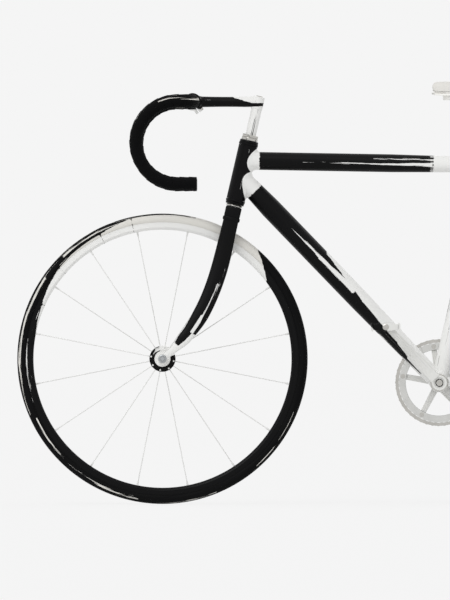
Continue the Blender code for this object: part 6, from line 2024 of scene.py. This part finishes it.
def copied(bm, marks, finish):
    """Return copies of a piece that lies along X, one for each mark: a place and the way it points."""
    sample = placed("copied", as_mesh(bm, "copied"))
    points = bpy.data.meshes.new("marks")
    points.from_pydata([place for place, _ in marks], [], [])
    layer = points.attributes.new("facing", "FLOAT_VECTOR", "POINT")
    for index, (place, way) in enumerate(marks):
        layer.data[index].vector = way.to_track_quat("X", "Z").to_euler()
    result = grown(points, COPIES_ON_MARKS, piece=sample, finish=finish)
    bpy.data.objects.remove(sample)
    return result


def make_chain():
    """Make the whole chain from its two kinds of link, set in turn along the pitch line."""
    pins = [chain_place(count * CHAIN_PITCH) for count in range(CHAIN_LINKS)]
    marks = [((first + second) / 2, second - first) for first, second in zip(pins, pins[1:] + pins[:1])]
    chain = merged(copied(link(OUTER_PLATE, False), marks[::2], NICKEL_PLATE),
                   copied(link(INNER_PLATE, True), marks[1::2], NICKEL_PLATE))
    set_piece("roller_chain", chain, NICKEL_PLATE, "frame_body", ["chain"], crisp=40)


make_chain()

# Seatpost and saddle clamp
# A forged aluminium post, polished, whose head cradles the clamp. The clamp is two grooved jaws on a round
# seat, drawn together over the rails by one bolt, so that the saddle's tilt and place can be set.
POST_RADIUS = 0.01585
POST_BELOW_TOP = 0.090
POST_HEAD_RADIUS = 0.0111
POST_TAPER = 0.016
POST_ROUND = 64
JAW_RADIUS = 0.013
CRADLE_RADIUS = 0.0133
JAW_HALF_LENGTH = 0.029
JAW_HALF_WIDTH = 0.0121
JAW_PARTING = 0.0009
# Over what length a jaw's end rounds off, and by how much
JAW_END_LENGTH = 0.003
JAW_END_DROP = 0.0016
RAIL_SPREAD = 0.022
RAIL_RADIUS = 0.0035
RAIL_GROOVE = 0.0037


def jaw(over):
    """Return one jaw of the saddle clamp, above or below the rails (over is 1 or -1)."""
    across = [JAW_HALF_LENGTH * (step / 12 - 1) for step in range(25)]
    for side in (-1, 1):
        across += [side * RAIL_SPREAD + RAIL_GROOVE * math.cos(math.radians(15 * step)) for step in range(13)]
    rings = []
    for place in sorted(set(round(value, 6) for value in across)):
        aside = min(abs(place - RAIL_SPREAD), abs(place + RAIL_SPREAD))
        groove = math.sqrt(max(RAIL_GROOVE ** 2 - aside ** 2, 0))
        parting = max(JAW_PARTING / 2, groove)
        end = 1 - min(1, (JAW_HALF_LENGTH - abs(place)) / JAW_END_LENGTH)
        radius = JAW_RADIUS - JAW_END_DROP * end ** 2
        ring = [(-JAW_HALF_WIDTH, parting), (JAW_HALF_WIDTH, parting)]
        for step in range(15):
            turn = math.asin(JAW_HALF_WIDTH / JAW_RADIUS) * (1 - step / 7)
            ring.append((radius * math.sin(turn), max(radius * math.cos(turn), parting)))
        rings.append([SADDLE_CLAMP + ACROSS * place + AHEAD * a + UPWARD * b * over for a, b in ring])
    return skin(rings)


def make_seatpost():
    """Make the post with its cradle, and the clamp's jaws and bolt."""
    foot = SEAT_TOP - SEAT_UP * POST_BELOW_TOP
    length = (SADDLE_CLAMP - foot).length
    ahead = ACROSS.cross(SEAT_UP)
    rings = []
    stations = [(0, POST_RADIUS - 0.0008), (0.0008, POST_RADIUS),
                (length - CRADLE_RADIUS - POST_TAPER, POST_RADIUS)]
    for step in range(1, 9):
        t = step / 8
        stations.append((length - CRADLE_RADIUS - POST_TAPER * (1 - t * 0.9),
                         POST_RADIUS + (POST_HEAD_RADIUS - POST_RADIUS) * t * t * (3 - 2 * t)))
    for level, radius in stations:
        rings.append([foot + SEAT_UP * level + out * radius
                      for out in spokes_round(ahead, ACROSS, POST_ROUND)])
    for share in (1.0, 0.85, 0.6, 0.35, 0.1):
        ring = []
        for step in range(POST_ROUND):
            turn = 2 * math.pi * step / POST_ROUND
            fore = POST_HEAD_RADIUS * share * math.cos(turn)
            level = length - math.sqrt(CRADLE_RADIUS ** 2 - fore ** 2)
            ring.append(foot + SEAT_UP * level + ahead * fore
                        + ACROSS * POST_HEAD_RADIUS * share * math.sin(turn))
        rings.append(ring)
    set_piece("seatpost_forging", skin(rings), POLISHED_ALLOY, "seatpost_body", ["seatpost"],
              crisp=40)
    jaws = merged(softened(jaw(1), 0.0004, 2, 40), softened(jaw(-1), 0.0004, 2, 40))
    set_piece("saddle_clamp_jaws", jaws, POLISHED_ALLOY, "saddle_clamp_body", ["saddle_clamp"])
    bolt = socket_bolt(SADDLE_CLAMP + UPWARD * (JAW_RADIUS - SADDLE_HEAD_SUNK), UPWARD, *SADDLE_HEAD)
    set_piece("saddle_clamp_bolt", bolt, NICKEL_PLATE, "saddle_clamp_body")


make_seatpost()

# Saddle
# White leather sewn over foam on a moulded nylon shell. Dark thread runs round the cover's lower edge, the
# brush left a few ink streaks on it, and plated steel rails are held in sockets under the shell.
SADDLE_LENGTH = 0.270
SADDLE_TAIL = -0.120
SADDLE_HALF_WIDTH = 0.070
SHELL_UNDER = 0.0313
SHELL_THICKNESS = 0.0035
SADDLE_CROWN = 0.16
COVER_GAP = 0.0003
COVER_HEIGHT = 0.0232
COVER_EDGE = 0.45
COVER_WRAP = 0.003
TAIL_BOW = 0.016
NOSE_BOW = 0.007
END_ROUNDING = 0.012
# Share of the saddle's length from its tail, share of its half width
SADDLE_OUTLINE = ((0.0, 0.80), (0.06, 0.96), (0.16, 1.0), (0.28, 0.90), (0.40, 0.58), (0.55, 0.37),
                  (0.75, 0.29), (0.93, 0.25), (1.0, 0.17))
SADDLE_STATIONS = 61
SADDLE_POINTS = 12
SADDLE_PLACES = [step / SADDLE_POINTS for step in range(-SADDLE_POINTS, SADDLE_POINTS + 1)]
RAIL_RISE = 0.024
RAIL_PATH = ((-0.092, 0.034, RAIL_RISE), (-0.0435, RAIL_SPREAD, 0), (0.0435, RAIL_SPREAD, 0),
             (0.112, 0.007, RAIL_RISE))
# Each rail socket's place ahead of the clamp and to its left, and its radius
RAIL_SOCKETS = ((RAIL_PATH[0][0], RAIL_PATH[0][1], 0.0075), (RAIL_PATH[0][0], -RAIL_PATH[0][1], 0.0075),
                (RAIL_PATH[3][0] + 0.001, 0.0, 0.0125))
SOCKET_BELOW_RAIL = 0.0055
COVER_GRID = 0.0036
COVER_PRESSURE = 4.0
COVER_FRAMES = 20
COVER_LIMIT = 0.0012
STITCH_LENGTH = 0.0026
STITCH_PITCH = 0.0042
STITCH_RADIUS = 0.00042
STITCH_ABOVE_EDGE = 0.0046
LEATHER_WHITE = "#E6E4DF"
THREAD_DARK = "#1B1A1A"
NYLON = "#DEDDD9"
# The leather's pebble in millimetres, a little coarser than real, the distance between its creases, and
# the height of both in metres
LEATHER_GRAIN_MM = 1.3
CREASE_MM = 50 / 3
LEATHER_RELIEF = 0.0004


def smooth_value(table, place):
    """Return a value read from a table of (place, value) rows along a smooth curve through them all."""
    rows = [table[0], *table, table[-1]]
    for index in range(1, len(rows) - 2):
        (low, first), (high, second) = rows[index], rows[index + 1]
        if place <= high or index == len(rows) - 3:
            t = (place - low) / (high - low)
            before, after = rows[index - 1][1], rows[index + 2][1]
            return (first + (second - before) * t / 2
                    + (2 * before - 5 * first + 4 * second - after) * t * t / 2
                    + (3 * first - before - 3 * second + after) * t ** 3 / 2)


def saddle_place(share, across, level):
    """Return a place on the saddle: share of the length, share of the half width, height above the shell."""
    half = SADDLE_HALF_WIDTH * smooth_value(SADDLE_OUTLINE, share)
    bow = across ** 2 * (TAIL_BOW * max(0, 1 - share / 0.22) ** 2
                         - NOSE_BOW * max(0, (share - 0.86) / 0.14) ** 2)
    fall = half * SADDLE_CROWN * across ** 2
    return SADDLE_CLAMP + Vector((SADDLE_TAIL + SADDLE_LENGTH * share + bow, half * across,
                                  SHELL_UNDER + level - fall))


def saddle_stations():
    """Return the shares of the saddle's length where its sections stand, closer together at both ends."""
    return [0.5 - 0.5 * math.cos(math.pi * step / (SADDLE_STATIONS - 1)) for step in range(SADDLE_STATIONS)]


def cover_form():
    """Return the padded cover as it is cut and wrapped over the shell's edge."""
    soft = SHELL_THICKNESS + COVER_GAP
    rings = []
    for share in saddle_stations():
        from_end = min(share, 1 - share) * SADDLE_LENGTH
        rounding = END_ROUNDING - math.sqrt(END_ROUNDING ** 2 - max(END_ROUNDING - from_end, 0) ** 2)
        ring = []
        for place in SADDLE_PLACES:
            wrap = COVER_WRAP * max(0, (abs(place) - 0.8) / 0.2) ** 2
            ring.append(saddle_place(share, place, soft - wrap))
        for place in reversed(SADDLE_PLACES):
            dome = math.sqrt(max(0, 1 - place ** 2))
            height = COVER_HEIGHT * (COVER_EDGE + (1 - COVER_EDGE) * dome) - rounding
            ring.append(saddle_place(share, place * (1 - 0.06 * (1 - dome) ** 2), soft + max(height, 0.004)))
        rings.append(ring)
    return skin(rings)


def swollen(bm):
    """Return the cover as a cloth simulation swells it, with its lower face held and its travel capped."""
    holder = placed("cover", as_mesh(bm, "cover"))
    grid = holder.modifiers.new("grid", "REMESH")
    grid.mode = "VOXEL"
    grid.voxel_size = COVER_GRID
    form = settled(holder)
    holder.modifiers.clear()
    holder.data = form
    group = holder.vertex_groups.new(name="held")
    group.add([vertex.index for vertex in form.vertices if vertex.normal.z < -0.4], 1.0, "REPLACE")
    cloth = holder.modifiers.new("swelling", "CLOTH")
    cloth.settings.vertex_group_mass = "held"
    cloth.settings.use_pressure = True
    cloth.settings.uniform_pressure_force = COVER_PRESSURE
    cloth.settings.effector_weights.gravity = 0
    for frame in range(1, COVER_FRAMES + 1):
        bpy.context.scene.frame_set(frame)
    moved = holder.evaluated_get(bpy.context.evaluated_depsgraph_get()).data
    swelled = [vertex.co.copy() for vertex in moved.vertices]
    holder.modifiers.clear()
    for vertex, goal in zip(form.vertices, swelled):
        step = goal - vertex.co
        vertex.co = vertex.co + step * min(1, COVER_LIMIT / max(step.length, 1e-9))
    bpy.context.scene.frame_set(1)
    smooth = holder.modifiers.new("evened", "SMOOTH")
    smooth.factor = 0.5
    smooth.iterations = 2
    finer = holder.modifiers.new("finer", "SUBSURF")
    finer.levels = 1
    finer.render_levels = 1
    result = settled(holder)
    bpy.data.objects.remove(holder)
    return result


def leather(material):
    """Give white leather its fine pebble grain, and creases that run across the nose."""
    tree, shader = painted(material)
    place = own_place(tree)
    pebble = add(tree, "ShaderNodeTexVoronoi", {"Vector": place, "Scale": 1000 / LEATHER_GRAIN_MM})
    crease = add(tree, "ShaderNodeTexNoise", {
        "Vector": place, "Scale": 1000 / CREASE_MM, "Detail": 6.0, "Roughness": 0.7})
    both = maths(tree, "MULTIPLY_ADD", crease, 2.0, pebble.outputs["Distance"])
    wire(tree, shader, {"Normal": relief(tree, both, 0.5, LEATHER_RELIEF)})


def cover_edge():
    """Return the line that the seam follows round the cover, as points."""
    level = STITCH_ABOVE_EDGE + SHELL_THICKNESS
    sixths = [across / 6 for across in range(5, -6, -1)]
    line = [saddle_place(share, 1.0, level) for share in saddle_stations()]
    nose = [saddle_place(1.0, across, level) for across in sixths]
    back = [saddle_place(share, -1.0, level) for share in reversed(saddle_stations())]
    tail = [saddle_place(0.0, across, level) for across in reversed(sixths)]
    return line + nose + back + tail


def evenly(points, pitch):
    """Return places and directions at even steps along a closed line."""
    marks = []
    spare = 0.0
    for first, second in zip(points, points[1:] + points[:1]):
        length = (second - first).length
        gone = spare
        while gone < length:
            marks.append((first.lerp(second, gone / length), (second - first).normalized()))
            gone += pitch
        spare = gone - length
    return marks


def make_saddle():
    """Make the shell, the rails in their sockets, the padded cover and its seam."""
    rings = []
    for share in saddle_stations():
        under = [saddle_place(share, place, 0) for place in SADDLE_PLACES]
        over = [saddle_place(share, place, SHELL_THICKNESS) for place in SADDLE_PLACES]
        rings.append(under + over[::-1])
    nylon = moulded_rubber("moulded_nylon", NYLON, 0.45)
    set_piece("saddle_nylon_shell", softened(skin(rings), 0.0008, 2, 50), nylon, "saddle_body",
              ["saddle_shell"])
    left = [Vector(place) for place in RAIL_PATH]
    path = [SADDLE_CLAMP + place for place in eased(left + other_side(left[::-1]), 8, 0.12)]
    set_piece("saddle_bent_rails", swept(path, [RAIL_RADIUS] * len(path), 24), ZINC_PLATE, "saddle_body",
              ["saddle_rails"], crisp=60)
    sockets = []
    for along, aside, radius in RAIL_SOCKETS:
        foot = SADDLE_CLAMP + Vector((along, aside, RAIL_RISE - SOCKET_BELOW_RAIL))
        tall = SHELL_UNDER + SHELL_THICKNESS * 0.5 - RAIL_RISE + SOCKET_BELOW_RAIL
        if aside:
            tall -= SADDLE_HALF_WIDTH * SADDLE_CROWN * (aside / SADDLE_HALF_WIDTH) ** 2
        sockets.append(softened(rod(foot, UPWARD, [(0, radius), (tall, radius * 1.12)], 36), 0.0016, 3))
    set_piece("saddle_rail_sockets", merged(*sockets), nylon, "saddle_body")

    nose = SADDLE_CLAMP + AHEAD * (SADDLE_TAIL + SADDLE_LENGTH) + UPWARD * (SHELL_UNDER + COVER_HEIGHT * 0.5)
    hide = inked(
        "brushed_white_leather", on_tube(nose, nose - AHEAD * SADDLE_LENGTH), COVER_HEIGHT / 2,
        (0.050, 0.130, 0.62, 0.16), (
            ((-0.050, 0.046), (-9, -9), (9, 9), 0.90),
            ((0.040, 0.090), (-9, -9), (-0.30, -0.80), 0.90),
            ((0.070, 0.210), (0.30, 0.34), (0.62, 0.50), 0.80),
            ((0.236, 0.300), (-9, -9), (9, 9), 0.72)), dry=LEATHER_WHITE)
    leather(hide)
    cover = set_piece("saddle_sewn_cover", swollen(cover_form()), hide, "saddle_body",
                      ["saddle_pad"], crisp=60)
    thread = lacquer("waxed_dark_thread", THREAD_DARK, 0.6)
    marks = []
    for place, way in evenly(cover_edge(), STITCH_PITCH):
        found, nearest, normal, _ = cover.closest_point_on_mesh(place)
        if found:
            marks.append((nearest + normal * STITCH_RADIUS * 0.3, way))
    half = STITCH_LENGTH / 2
    stitch = rod(Vector((-half, 0, 0)), AHEAD, [
        (0, STITCH_RADIUS * 0.4), (STITCH_LENGTH * 0.2, STITCH_RADIUS), (STITCH_LENGTH * 0.8, STITCH_RADIUS),
        (STITCH_LENGTH, STITCH_RADIUS * 0.4)], 6)
    set_piece("saddle_seam_stitches", copied(stitch, marks, thread), thread, "saddle_body",
              crisp=80)


make_saddle()
